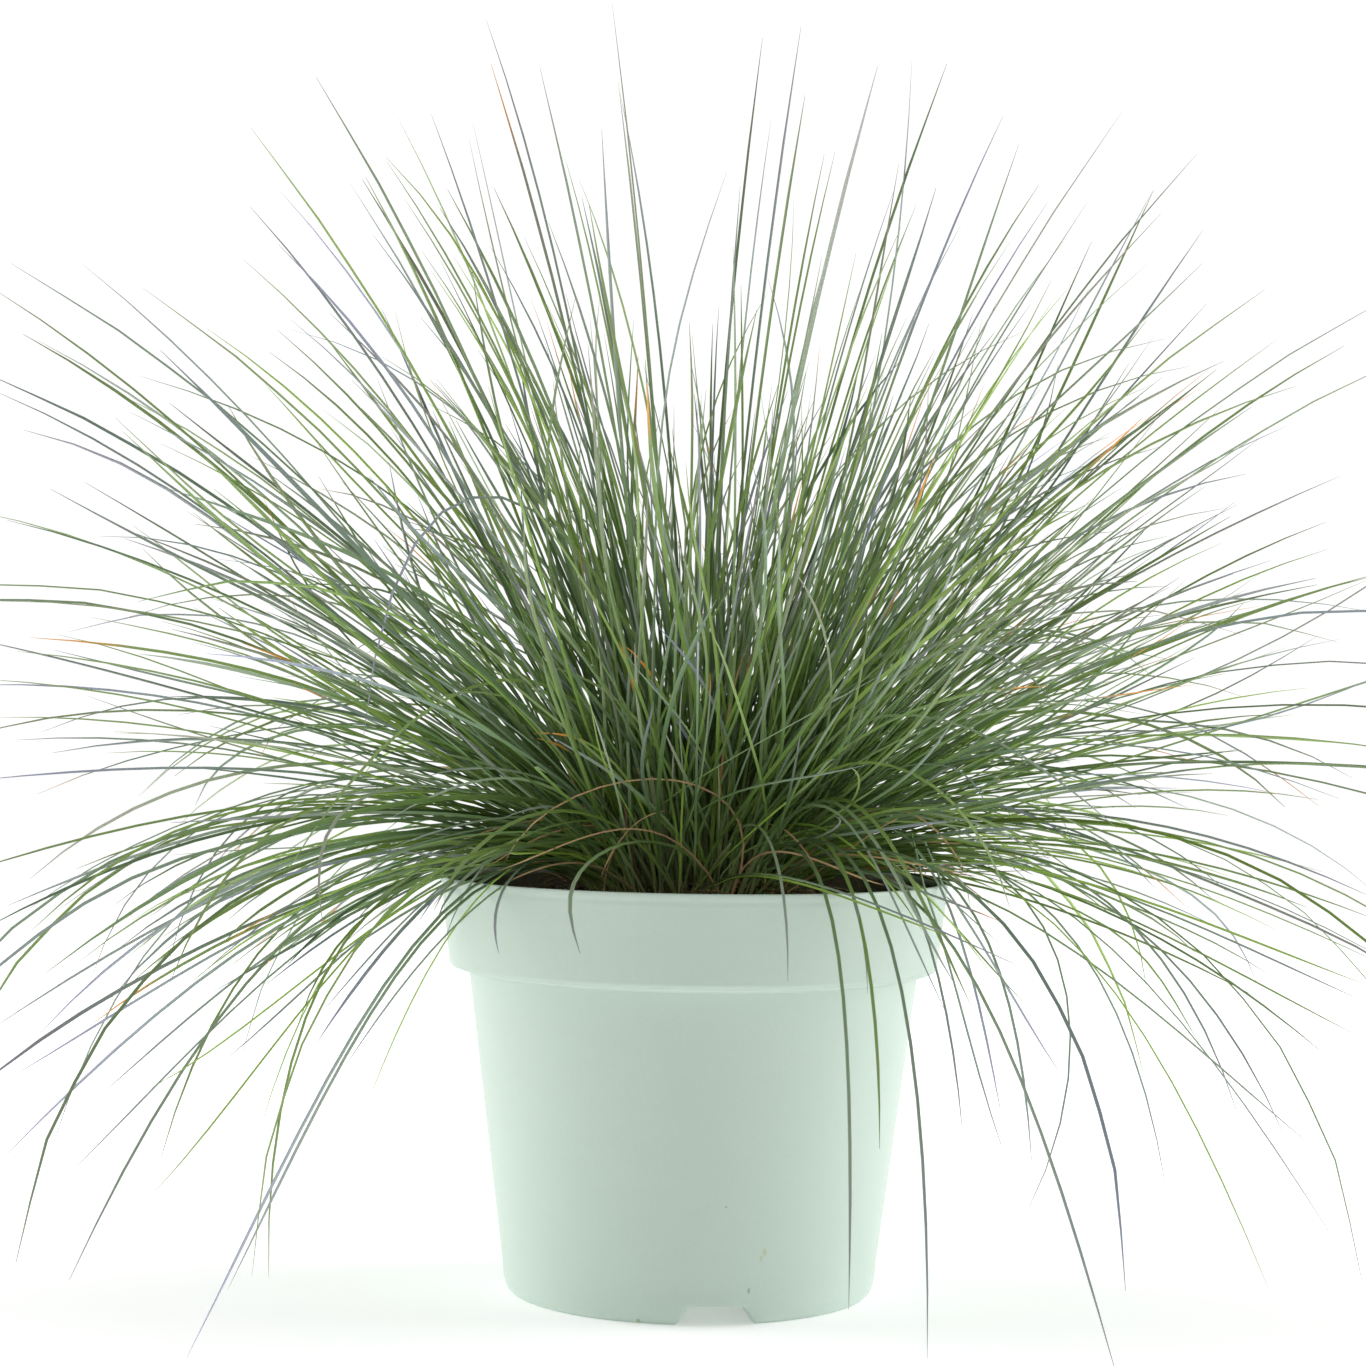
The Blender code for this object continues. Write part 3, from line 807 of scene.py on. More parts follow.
bladeDraw = {
    "baseStray": 0.018,
    "crossing": 0.85,  # how much a blade that starts steeper than its tuft bends further over
    "halfWidth": (0.00036, 0.00086),
    "rightFiner": 0.10,
    "shortest": 0.28,  # the shortest blade, as a share of the tuft's length
    "swing": 27.0,  # degrees that a blade bends sideways, as a standard deviation
    "swingMost": 60.0,
    "ripple": 4.0,
    "rootUpright": (0.25, 0.75),  # a root's lean, as a share of the blade's own lean
    "frontThinner": 0.80,  # share of blades missing towards the front, where the stems show
    "backThinner": 0.35,  # and towards the back
    "frontWider": 0.80,  # how much further the front tufts' blades spread
    "frontUpright": 0.90,  # towards the front the blades hang less, so that the pot's face shows
    "stiffer": 0.34,  # how much less the arching blades hang to the left and right
    "leftHang": 0.60,  # how much more the trailing blades hang on the left
    "middleShorter": 0.14,  # how much shorter the blades are that stand straight up
    "steepest": 128.0,  # a blade never ends further over than this, from upright
    "flattest": 80.0,  # nor starts further over than this, less frontSteeper at the front
    "frontSteeper": 30.0,
    "rootSink": 0.0015,
    "crownEdge": 0.004,  # roots keep this far inside the crown's edge
}
sidesPerRing = 6  # corners in each ring of a tuft's CAD solid


def tuftLine(node):
    # a tuft's centre line, read off its CAD solid: the corners in order from the crown, ring by ring
    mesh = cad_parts[node].data
    corners = np.zeros(len(mesh.vertices) * 3, np.float32)
    mesh.vertices.foreach_get("co", corners)
    corners = np.unique(np.round(corners.reshape(-1, 3).astype(float), 6), axis=0)
    order = np.argsort(np.linalg.norm(corners - crownTop, axis=1))
    rings = corners[order][: len(corners) // sidesPerRing * sidesPerRing]
    return rings.reshape(-1, sidesPerRing, 3).mean(axis=1)


def tuftFacts(node):
    # base, heading, lean at the base, further turn, and length, all measured on the centre line
    line = tuftLine(node)
    run = np.diff(line, axis=0)
    stretch = np.linalg.norm(run, axis=1)
    angle = np.arctan2(np.hypot(run[:, 0], run[:, 1]), run[:, 2])
    heading = math.atan2(line[-1, 1] - line[0, 1], line[-1, 0] - line[0, 0])
    return {"base": line[0], "heading": heading, "lean": angle[0], "turn": angle[-1] - angle[0],
            "length": stretch.sum(), "line": line}


def leadingBlade(line, steps):
    # the tuft's longest blade: its own line, cut into equal steps, with the tip at the solid's own tip
    along = np.concatenate([[0.0], np.cumsum(np.linalg.norm(np.diff(line, axis=0), axis=1))])
    wanted = np.linspace(0.0, along[-1], steps + 1)
    return np.stack([np.interp(wanted, along, line[:, axis]) for axis in range(3)], axis=-1)


def frontShare(heading):
    # 1 straight to the front, falling to 0 some 63 degrees to either side of it
    return np.clip((np.cos(heading + math.pi / 2.0) - 0.45) / 0.55, 0.0, 1.0)


def bladeCount(ring, facts):
    # the group's number, more or fewer by side, and fewer to the front and the back as the tuft leans
    fuller = 1.0 - math.cos(facts["heading"]) * ring["fuller"]
    front = bladeDraw["frontThinner"] * float(frontShare(facts["heading"]))
    back = bladeDraw["backThinner"] * float(frontShare(facts["heading"] + math.pi))
    thinner = 1.0 - (front + back) * math.sqrt(math.sin(facts["lean"]))
    return max(3, int(round(ring["blades"] * fuller * thinner)))


def bladeRoots(chance, facts, count):
    # scattered evenly over a small disc about the tuft's own root, and held inside the crown
    strayAngle = chance.uniform(0.0, 2.0 * math.pi, count)
    stray = bladeDraw["baseStray"] * np.sqrt(chance.uniform(0.0, 1.0, count))
    sunk = np.full(count, -bladeDraw["rootSink"])
    roots = facts["base"] + np.stack([stray * np.cos(strayAngle), stray * np.sin(strayAngle), sunk], -1)
    away = np.hypot(roots[:, 0], roots[:, 1])
    held = np.minimum(1.0, (crownRadius - bladeDraw["crownEdge"]) / np.maximum(away, 1e-6))
    roots[:, :2] *= held[:, None]
    return roots


def drawSizes(chance, lean, count):
    # shares of the tuft's length, drawn from a beta curve: more long ones where the tuft leans far
    spread = chance.beta(1.45, 1.5 + 0.5 * math.cos(lean), count)
    return bladeDraw["shortest"] + (1.0 - bladeDraw["shortest"]) * spread


def tuftBlades(node, facts, seed):
    # random blades about the tuft's own line: each value is the tuft's own plus a random stray; a blade
    # that starts steeper bends further over, so that blades cross; blade 0 is the tuft's own line
    group = node.split("_")[0]
    ring = tuftFill[group]
    chance = np.random.default_rng(seed)
    count = bladeCount(ring, facts)
    roots = bladeRoots(chance, facts, count)
    wider = 1.0 + bladeDraw["frontWider"] * float(frontShare(facts["heading"]))
    headings = facts["heading"] + np.radians(chance.normal(0.0, ring["heading"] * wider, count))
    leanStray = np.radians(chance.normal(0.0, ring["lean"], count))
    leans = np.abs(facts["lean"] + leanStray)
    sizes = drawSizes(chance, facts["lean"], count)
    powers = chance.uniform(*ring["powers"], count)
    turns = facts["turn"] * (0.35 + 0.65 * sizes) * (powers + 1.0) / (ring["bend"] + 1.0)
    turns = turns + np.radians(chance.normal(0.0, ring["turn"], count))
    turns = turns - bladeDraw["crossing"] * leanStray * (powers + 1.0) * 0.7
    bent = chance.uniform(0.0, 1.0, count) < ring["strays"]
    turns = np.where(bent, turns + np.radians(chance.uniform(30.0, 80.0, count)), turns)
    swings = chance.normal(0.0, bladeDraw["swing"], count) * np.where(bent, 2.0, 1.0)
    swings = np.radians(np.clip(swings, -bladeDraw["swingMost"], bladeDraw["swingMost"]))
    front = frontShare(headings)
    turns = turns * (1.0 - bladeDraw["frontUpright"] * front)
    sideways = np.cos(headings)
    if group == "arching":
        turns = turns * (1.0 - bladeDraw["stiffer"] * np.abs(sideways))
    if group == "trailing":
        turns = turns * (1.0 + bladeDraw["leftHang"] * np.clip(-sideways, 0.0, 1.0))
    leans = np.minimum(leans, np.radians(bladeDraw["flattest"] - bladeDraw["frontSteeper"] * front))
    turns = np.minimum(turns, math.radians(bladeDraw["steepest"]) - leans)
    tilt = np.abs(np.sin(leans + 0.4 * turns) * np.cos(headings))
    sizes = sizes * (1.0 - bladeDraw["middleShorter"] * (1.0 - smoothStep(0.04, 0.28, tilt)))
    narrow, wide = bladeDraw["halfWidth"]
    ripple = bladeDraw["ripple"]
    b = {"base": roots, "heading": headings, "lean": leans, "turn": turns, "swing": swings,
         "power": powers, "length": facts["length"] * ring["reach"] * sizes}
    b["root"] = chance.uniform(*bladeDraw["rootUpright"], count)
    width = (narrow + (wide - narrow) * chance.beta(1.6, 1.9, count)) * (0.8 + 0.2 * sizes)
    b["halfWidth"] = width * (1.0 - bladeDraw["rightFiner"] * np.cos(headings))
    b["ripple"] = np.radians(chance.normal(0.0, ripple, count))
    b["sideRipple"] = np.radians(chance.normal(0.0, 2.0 * ripple, count))
    b["waves"] = chance.uniform(0.6, 1.7, count)
    b["phase"] = chance.uniform(0.0, 1.0, count)
    b["roll"] = chance.normal(0.0, 0.6, count)
    b["twist"] = chance.normal(0.0, 0.8, count)
    b["tone"], b["shade"] = drawTones(chance, count)
    # painted light: blades of a tuft that leans far out are made lighter, as if better lit at the clump's
    # edge
    b["shade"] = b["shade"] * (0.96 + 0.20 * np.sin(facts["lean"]) ** 2)
    for _ in range(5):
        points = settled(bladePaths(b, bladeShape["steps"]))
        b["length"] = shortenedToFloor(b["length"], points)
    points[0] = leadingBlade(facts["line"], bladeShape["steps"])
    return points, b


def settled(points):
    # clear of the soil, then of the rim, then of the wall
    return clearWall(clearRim(clearSoil(points)))


def drawTones(chance, count):
    # most blades are mid green, bloom averages a third and a few have dried tips
    warmth = np.clip(chance.normal(0.60, 0.30, count), 0.0, 1.0)
    bloom = np.clip(chance.beta(1.0, 2.0, count) * 1.15, 0.0, 1.0)
    tipDry = np.where(chance.uniform(0.0, 1.0, count) < 0.09, chance.uniform(0.04, 0.16, count), 0.0)
    tone = np.stack([warmth, bloom, tipDry], axis=-1)
    return tone, np.clip(chance.normal(1.0, 0.16, count), 0.74, 1.4)


keyTones = {
    # yellow-green, bloom, dried share and shade of the blades placed one by one
    "green": (0.75, 0.15, 0.0, 1.05),
    "yellow": (1.0, 0.0, 0.0, 1.35),
    "grey": (0.45, 0.70, 0.0, 1.0),
    "bloomed": (0.55, 0.60, 0.0, 1.12),
    "violet": (0.30, 1.0, 0.0, 1.15),
    "pale": (1.0, 0.1, 0.0, 1.9),
    "dead": (0.6, 0.0, 1.0, 0.92),
    "russet": (0.5, 0.1, 0.62, 0.62),
    "orangeTip": (0.9, 0.0, 0.22, 1.05),
}
keyBlades = (
    # tip in millimetres (x, y, z); degrees by which the blade leaves the crown steeper than the straight
    # line to its tip, and ends flatter; half its width in millimetres; its tone
    # rising blades along the top
    (-73, -20, 421, 2, 6, 0.60, "grey"), (-30, 30, 408, 5, 9, 0.55, "grey"),
    (69, 0, 414, -8, -12, 0.60, "grey"), (96, -40, 388, 3, 4, 0.60, "violet"),
    (23, 50, 403, 4, 6, 0.50, "grey"), (38, -50, 373, 2, 3, 0.60, "green"),
    (41, -60, 372, 4, 5, 0.55, "green"), (-108, 40, 400, 5, 7, 0.60, "green"),
    (-88, -50, 384, 1, 2, 0.60, "grey"), (-85, 80, 407, -3, -4, 0.55, "grey"),
    (-111, -30, 367, 3, 4, 0.65, "green"), (-33, -60, 378, -6, -8, 0.60, "grey"),
    (-50, 60, 390, 6, 8, 0.55, "green"), (11, -70, 359, 3, 5, 0.60, "bloomed"),
    (119, 60, 383, 6, 8, 0.60, "green"), (146, -30, 366, -3, -5, 0.65, "grey"),
    (154, 20, 375, -7, -9, 0.60, "green"), (176, 50, 366, -2, -3, 0.65, "grey"),
    (205, -50, 314, 9, 11, 0.65, "green"),
    # the dense sheaf at the upper left
    (-109, 10, 381, 5, 22, 0.45, "yellow"), (-104, -30, 372, 11, 12, 0.62, "green"),
    (-103, 20, 368, 12, 11, 0.66, "green"), (-106, -50, 345, 13, 12, 0.60, "grey"),
    (-92, 30, 367, 7, 13, 0.70, "bloomed"), (-85, -20, 365, 11, 10, 0.66, "green"),
    (-74, 40, 376, 12, 10, 0.66, "green"), (-81, -40, 340, 12, 13, 0.62, "yellow"),
    (-149, -40, 338, 14, 14, 0.62, "green"), (-146, 50, 330, 15, 15, 0.58, "grey"),
    (-164, -20, 318, 14, 15, 0.62, "yellow"), (-149, 20, 315, 13, 16, 0.66, "green"),
    (-136, -50, 314, 13, 13, 0.62, "green"), (-50, -50, 350, 10, 12, 0.60, "bloomed"),
    (-44, 40, 379, 11, 16, 0.60, "green"), (-45, -30, 330, 15, 2, 0.50, "grey"),
    (-98, 30, 352, 12, 12, 0.55, "green"), (-90, -20, 338, 11, 13, 0.60, "yellow"),
    (-84, 10, 350, 13, 11, 0.62, "green"), (-70, -30, 345, 12, 14, 0.55, "grey"),
    (-62, 20, 356, 11, 11, 0.60, "green"), (-95, 0, 325, 13, 15, 0.60, "bloomed"),
    (-78, 30, 318, 12, 12, 0.55, "green"), (-66, -50, 322, 14, 13, 0.60, "green"),
    (-56, 0, 335, 11, 12, 0.55, "yellow"), (-88, -40, 300, 13, 16, 0.62, "bloomed"),
    # the sheaf at the upper right
    (70, 20, 330, 4, 5, 0.55, "green"), (78, -30, 345, 3, 4, 0.55, "grey"),
    (85, 30, 318, 4, 6, 0.55, "green"), (66, -20, 352, 2, 3, 0.50, "yellow"),
    (92, 0, 335, 4, 6, 0.55, "green"), (60, 30, 318, 5, 4, 0.55, "bloomed"),
    (75, -40, 312, 3, 6, 0.60, "green"), (98, 20, 312, 4, 8, 0.55, "yellow"),
    (52, -30, 335, 2, 5, 0.50, "green"), (108, -20, 330, 5, 6, 0.55, "grey"),
    (83, -20, 296, 5, 7, 0.58, "bloomed"), (118, 30, 308, 6, 8, 0.52, "green"),
    (88, 20, 362, 6, 7, 0.50, "grey"), (74, 40, 372, 4, 5, 0.50, "green"),
    (102, -10, 352, 6, 8, 0.52, "green"), (126, 20, 342, 7, 9, 0.50, "yellow"),
    (62, -30, 366, 3, 4, 0.50, "bloomed"), (112, -30, 362, 6, 7, 0.50, "violet"),
    (210, 20, 205, 14, 12, 0.52, "yellow"), (190, -30, 196, 12, 14, 0.52, "green"),
    (232, 0, 178, 14, 16, 0.52, "green"), (176, 30, 190, 10, 12, 0.50, "yellow"),
    (205, -20, 168, 14, 18, 0.52, "green"), (160, -10, 176, 10, 14, 0.50, "yellow"),
    (186, 40, 160, 12, 18, 0.50, "green"), (222, 30, 222, 10, 10, 0.50, "bloomed"),
    # blades out to the right
    (215, 20, 262, 8, 9, 0.50, "green"), (205, -30, 250, 9, 11, 0.50, "yellow"),
    (186, 30, 268, 8, 9, 0.50, "bloomed"), (228, 0, 243, 10, 11, 0.50, "green"),
    (172, -20, 252, 8, 10, 0.50, "yellow"), (196, 40, 236, 10, 12, 0.50, "green"),
    (215, 20, 142, 26, 17, 0.50, "yellow"), (200, -30, 133, 28, 20, 0.52, "green"),
    (186, 30, 139, 26, 20, 0.50, "yellow"), (230, 0, 127, 30, 18, 0.52, "green"),
    (170, -40, 135, 28, 20, 0.50, "green"), (206, 40, 119, 32, 22, 0.50, "yellow"),
    (178, 10, 123, 30, 22, 0.52, "bloomed"), (240, 30, 109, 36, 18, 0.50, "green"),
    # blades out to the left
    (-240, 20, 188, 18, 14, 0.55, "green"), (-225, -20, 181, 18, 16, 0.52, "bloomed"),
    (-205, 30, 176, 18, 16, 0.52, "green"), (-232, -40, 201, 16, 13, 0.55, "green"),
    (-190, -30, 184, 16, 15, 0.52, "yellow"), (-185, 20, 222, 12, 12, 0.52, "green"),
    (-165, -30, 214, 12, 13, 0.52, "bloomed"), (-150, 30, 226, 10, 12, 0.55, "green"),
    (-150, 50, 375, 9, 11, 0.60, "violet"), (-147, -40, 355, 8, 9, 0.60, "grey"),
    (-203, -30, 337, 5, 7, 0.62, "grey"), (-240, 0, 333, 6, 8, 0.60, "green"),
    (-236, 30, 321, 8, 10, 0.85, "green"), (-229, 20, 318, 10, 12, 0.75, "bloomed"),
    (-132, -80, 337, 10, 14, 0.80, "violet"), (-238, 0, 298, 9, 12, 0.62, "grey"),
    (-255, 40, 260, 13, 16, 0.60, "green"), (-218, -50, 210, 20, 14, 0.65, "green"),
    (-250, 30, 199, 22, 16, 0.65, "violet"), (-248, 0, 135, 38, 18, 0.65, "green"),
    (-234, -30, 168, 30, 14, 0.65, "violet"), (-243, 50, 121, 42, 20, 0.62, "grey"),
    # hanging blades on the left
    (-232, -20, 85, 48, 22, 0.68, "grey"), (-217, -60, 50, 48, 25, 0.80, "violet"),
    (-220, 20, 38, 55, 50, 0.55, "grey"), (-196, -60, 11, 60, 34, 0.75, "bloomed"),
    (-177, -20, 24, 60, 15, 0.50, "yellow"), (-145, -140, 5, 64, 24, 0.75, "violet"),
    (-138, -110, 19, 62, 26, 0.72, "grey"), (-130, -80, 17, 62, 54, 0.60, "green"),
    (-99, -90, 70, 60, 38, 0.45, "pale"), (-105, -100, 77, 42, 28, 0.60, "grey"),
    (-120, -50, 75, 50, 30, 0.75, "violet"), (-117, -60, 83, 48, 26, 0.60, "grey"),
    (-210, 30, 94, 40, 62, 0.50, "grey"), (-186, 50, 100, 45, 66, 0.50, "grey"),
    (-217, 40, 27, 50, 18, 0.58, "grey"), (-219, -40, 73, 42, 15, 0.70, "violet"),
    (-173, -30, 45, 55, 48, 0.60, "green"), (-145, 0, 51, 60, 44, 0.55, "yellow"),
    (-163, 40, 62, 45, 15, 0.60, "grey"), (-171, -70, 67, 45, 6, 0.62, "yellow"),
    (-210, 60, 54, 45, 20, 0.55, "grey"), (-79, -60, 120, 55, 60, 0.60, "bloomed"),
    (-89, -40, 114, 50, 44, 0.75, "violet"), (-190, 0, 120, 30, 30, 0.60, "yellow"),
    (-160, -60, 105, 40, 30, 0.62, "yellow"), (-200, -40, 140, 28, 25, 0.62, "green"),
    # hanging blades on the right
    (58, -88, 51, 75, 50, 0.62, "green"), (49, -93, 9, 84, 40, 0.62, "bloomed"),
    (29, -91, 112, 68, 75, 0.55, "bloomed"), (54, -82, 108, 60, 70, 0.52, "grey"),
    (71, -120, 4, 80, 46, 0.62, "grey"), (99, -60, 27, 74, 24, 0.62, "grey"),
    (124, -140, 5, 64, 32, 0.72, "grey"), (116, 30, 20, 74, 74, 0.52, "grey"),
    (160, 0, 36, 60, 48, 0.60, "grey"), (185, -50, 13, 62, 34, 0.50, "yellow"),
    (221, 20, 16, 58, 28, 0.50, "grey"), (200, -40, 51, 36, 16, 0.62, "bloomed"),
    (193, 50, 54, 50, 48, 0.60, "grey"), (196, -20, 56, 50, 44, 0.58, "grey"),
    (159, 40, 97, 45, 68, 0.50, "yellow"), (100, -40, 47, 70, 38, 0.62, "violet"),
    (117, 20, 40, 70, 46, 0.62, "grey"), (85, -70, 55, 74, 46, 0.62, "grey"),
    (118, -50, 54, 60, 20, 0.60, "violet"), (104, -70, 90, 60, 20, 0.60, "green"),
    (220, -20, 90, 40, 14, 0.60, "green"), (225, 0, 100, 38, 14, 0.62, "grey"),
    (215, -50, 110, 34, 12, 0.60, "yellow"), (94, -65, 100, 55, 30, 0.45, "pale"),
    # blades that arch in front of the clump
    (-83, -90, 173, 40, 30, 0.62, "bloomed"), (-76, -80, 189, 14, -14, 0.60, "bloomed"),
    (-85, -90, 195, 36, 46, 0.62, "green"), (-27, -60, 206, 10, -10, 0.60, "bloomed"),
    (59, -70, 173, 20, -6, 0.60, "green"), (110, -80, 150, 45, 34, 0.62, "bloomed"),
    (150, -60, 190, 34, 20, 0.62, "bloomed"), (50, -50, 190, 24, 40, 0.55, "bloomed"),
    (-25, -60, 216, 6, 6, 0.62, "orangeTip"), (-50, -70, 185, 30, 22, 0.60, "orangeTip"),
    (20, -50, 220, 8, 16, 0.50, "russet"), (-60, -75, 160, 46, 30, 0.60, "bloomed"),
    (-95, -75, 150, 50, 26, 0.60, "bloomed"), (-120, -70, 165, 40, 20, 0.60, "bloomed"),
    (-100, -50, 215, 18, 26, 0.62, "bloomed"), (-70, -95, 146, 58, 24, 0.55, "green"),
    (85, -80, 160, 44, 26, 0.60, "green"), (130, -65, 142, 44, 22, 0.60, "bloomed"),
    (120, -50, 175, 34, 26, 0.58, "green"), (140, -20, 150, 40, 24, 0.60, "green"),
    (125, 10, 158, 34, 20, 0.60, "yellow"), (150, 0, 168, 30, 20, 0.58, "green"),
    (70, -90, 128, 62, 40, 0.55, "yellow"), (45, -80, 200, 12, 20, 0.60, "bloomed"),
    (-55, -60, 225, 4, 14, 0.60, "green"), (80, -60, 215, 10, 24, 0.62, "bloomed"),
    (30, -60, 190, 10, 4, 0.55, "yellow"),
    # dead blades low over the soil
    (-78, -50, 150, 56, 30, 0.42, "dead"), (90, -20, 142, 40, 26, 0.40, "dead"),
    (100, -10, 128, 40, 40, 0.36, "dead"), (40, -65, 142, 60, 50, 0.36, "dead"),
    (-68, -62, 142, 62, 32, 0.48, "dead"), (-65, -55, 141.5, 34, 20, 0.45, "dead"),
    (-30, -50, 140.5, 62, 60, 0.38, "dead"), (66, -45, 140.5, 44, 14, 0.42, "dead"),
)


archBlades = (
    # four places that the blade passes at even spacing, in millimetres: start, two on its way and tip;
    # half its width in millimetres; its tone
    ((-6, -20, 134), (-26, -32, 226), (-74, -40, 262), (-108, -42, 180), 0.66, "violet"),
    ((-12, -30, 134), (-38, -55, 196), (-80, -75, 196), (-127, -90, 140), 0.82, "green"),
    ((12, -30, 134), (32, -45, 188), (70, -55, 212), (122, -60, 218), 0.73, "bloomed"),
    ((15, -35, 134), (45, -55, 188), (86, -68, 190), (131, -75, 160), 0.82, "bloomed"),
    ((18, -35, 134), (42, -58, 176), (74, -74, 172), (96.5, -90, 136), 0.80, "green"),
    ((10, -30, 134), (35, -42, 196), (77, -52, 216.5), (112.5, -58, 199), 0.70, "bloomed"),
    ((4, -30, 134), (20, -48, 172), (34, -56, 200), (52, -60, 224), 0.82, "bloomed"),
    ((-4, -30, 134), (8, -50, 172), (24, -58, 202), (38, -60, 232), 0.73, "bloomed"),
    ((6, -30, 134), (-6, -48, 170), (-24, -56, 196), (-50, -60, 208), 0.70, "green"),
    ((-20, -28, 134), (-21, -46, 165), (-22, -52, 190), (-21, -54, 214), 0.70, "bloomed"),
    ((-16, -30, 134), (-40, -56, 166), (-66, -70, 172), (-94, -80, 160), 0.77, "bloomed"),
    ((-6, -34, 134), (-30, -60, 160), (-58, -74, 158), (-80, -86, 132), 0.73, "green"),
    ((20, -32, 134), (50, -56, 160), (82, -70, 164), (118, -80, 146), 0.77, "green"),
    ((0, -36, 136), (14, -48, 152), (29, -57, 166), (43.6, -64, 179), 0.55, "yellow"),
    ((-5, -36, 134), (-4.5, -46, 156), (-3, -50, 182), (4, -52, 206), 0.52, "yellow"),
    ((-10, -32, 134), (-16, -48, 160), (-29, -60, 180), (-51.5, -66, 186.5), 0.56, "orangeTip"),
    ((2, -30, 134), (-1, -44, 166), (-9, -52, 195), (-24.5, -56, 215.6), 0.56, "orangeTip"),
    ((6, -34, 134), (7.5, -46, 162), (9.5, -52, 190), (16, -55, 216), 0.50, "russet"),
    # the broad bundle that falls over the rim at the front right, and two blades that lie along it
    ((16, -34, 134), (40, -58, 166.5), (60, -78, 148), (80, -92, 112), 0.80, "bloomed"),
    ((18, -32, 134), (43, -56, 167), (64, -74, 149), (85, -88, 106), 0.75, "green"),
    ((14, -36, 134), (37, -60, 165), (56, -80, 148), (77, -96, 104), 0.70, "grey"),
    ((4, -40, 135), (20, -72, 143), (45, -94, 138.5), (78, -98, 127), 0.50, "yellow"),
    ((2, -40, 135), (18, -74, 144), (48, -98, 139), (100, -96, 118), 0.48, "grey"),
    # short blades that lie out over the rim
    ((24, -20, 134), (46, -30, 146), (66, -40, 148), (90, -48, 142), 0.60, "green"),
    ((26, -10, 134), (50, -14, 150), (76, -18, 154), (106, -22, 147), 0.55, "yellow"),
    ((26, 4, 134), (48, 6, 146), (74, 8, 149), (104, 10, 143), 0.55, "green"),
    ((24, 16, 134), (48, 26, 145), (68, 38, 147), (92, 50, 142), 0.60, "green"),
    ((20, 26, 134), (40, 40, 144), (56, 52, 146), (76, 66, 141), 0.60, "yellow"),
    ((24, -22, 134), (50, -34, 158), (78, -44, 160), (108, -52, 140), 0.60, "bloomed"),
    ((22, -26, 134), (40, -42, 146), (56, -56, 148), (74, -72, 138), 0.60, "green"),
    ((28, 10, 134), (54, 18, 155), (82, 24, 158), (112, 30, 146), 0.55, "yellow"),
    ((14, 30, 134), (30, 48, 144), (40, 64, 148), (54, 82, 144), 0.60, "green"),
    ((26, -14, 134), (50, -22, 142), (68, -26, 143.5), (92, -30, 141.5), 0.50, "russet"),
    ((-22, -26, 134), (-42, -42, 146), (-58, -54, 149), (-80, -66, 140), 0.60, "green"),
    ((-26, -14, 134), (-50, -22, 148), (-72, -30, 150), (-100, -38, 140), 0.60, "bloomed"),
    ((-28, 0, 134), (-52, 2, 146), (-74, 4, 149), (-104, 6, 142), 0.60, "green"),
    ((-24, 18, 134), (-46, 30, 145), (-66, 42, 148), (-88, 56, 142), 0.60, "green"),
    ((-14, 28, 134), (-30, 46, 144), (-44, 62, 147), (-60, 80, 141), 0.60, "yellow"),
    # dead blades that have fallen over the front of the crown
    ((12, -38, 134), (6, -55, 168), (-30, -64, 170), (-60, -66, 145.5), 0.45, "dead"),
    ((8, -40, 136), (-14, -58, 156), (-38, -65, 153), (-62, -64, 143), 0.42, "dead"),
    ((-29, -50, 136), (-25.5, -55, 150), (-18, -57, 159), (-9, -57, 162.5), 0.32, "dead"),
    ((12, -46, 136), (24, -60, 150), (42, -64, 146.5), (60, -58, 140), 0.45, "dead"),
    ((30, -40, 136), (48, -52, 150), (62, -56, 160), (74, -58, 164), 0.36, "dead"),
    ((28, -22, 134), (50, -40, 160), (70, -52, 162), (86, -60, 144), 0.40, "dead"),
    ((26, -30, 135), (44, -44, 150), (60, -52, 149), (76, -58, 142), 0.36, "dead"),
    ((30, 0, 134), (56, -10, 148), (80, -20, 152), (108, -30, 148), 0.38, "dead"),
    ((-18, -44, 135), (-34, -58, 145), (-48, -62, 144), (-60, -60, 139), 0.40, "dead"),
)


skirtShape = {
    "blades": 150,  # drawn all round; those towards the front are then left out
    "startHeight": 0.134,
    "startRadius": (0.020, 0.034),
    "rimRise": (0.0030, 0.0120),  # how far above the rim a blade passes over it
    "tipOut": (0.006, 0.040),
    "tipDrop": (-0.012, 0.010),
    "halfWidth": (0.00034, 0.00062),
    "tones": ("green", "green", "yellow", "green", "bloomed", "yellow", "grey", "dead"),
}


def throughFour(places, steps):
    # the cubic through four places, at t = 0, 1/3, 2/3 and 1: each place times its own weight in t
    t = np.linspace(0.0, 1.0, steps + 1)[None, :, None]
    a, b, c = 3.0 * t - 1.0, 3.0 * t - 2.0, t - 1.0
    weights = (-0.5 * a * b * c, 4.5 * t * b * c, -4.5 * t * a * c, 0.5 * t * a * b)
    lines = sum(weight * places[:, i, None, :] for i, weight in enumerate(weights))
    gone = lines[:, -1] - lines[:, 0]
    heading = np.arctan2(gone[:, 1], gone[:, 0])
    lean = np.arctan2(np.hypot(gone[:, 0], gone[:, 1]), gone[:, 2])
    return settled(lines), heading, lean


def archPaths(steps):
    # the placed arches: a cubic through the four places of each row
    return throughFour(np.array([row[:4] for row in archBlades]) / 1000.0, steps)


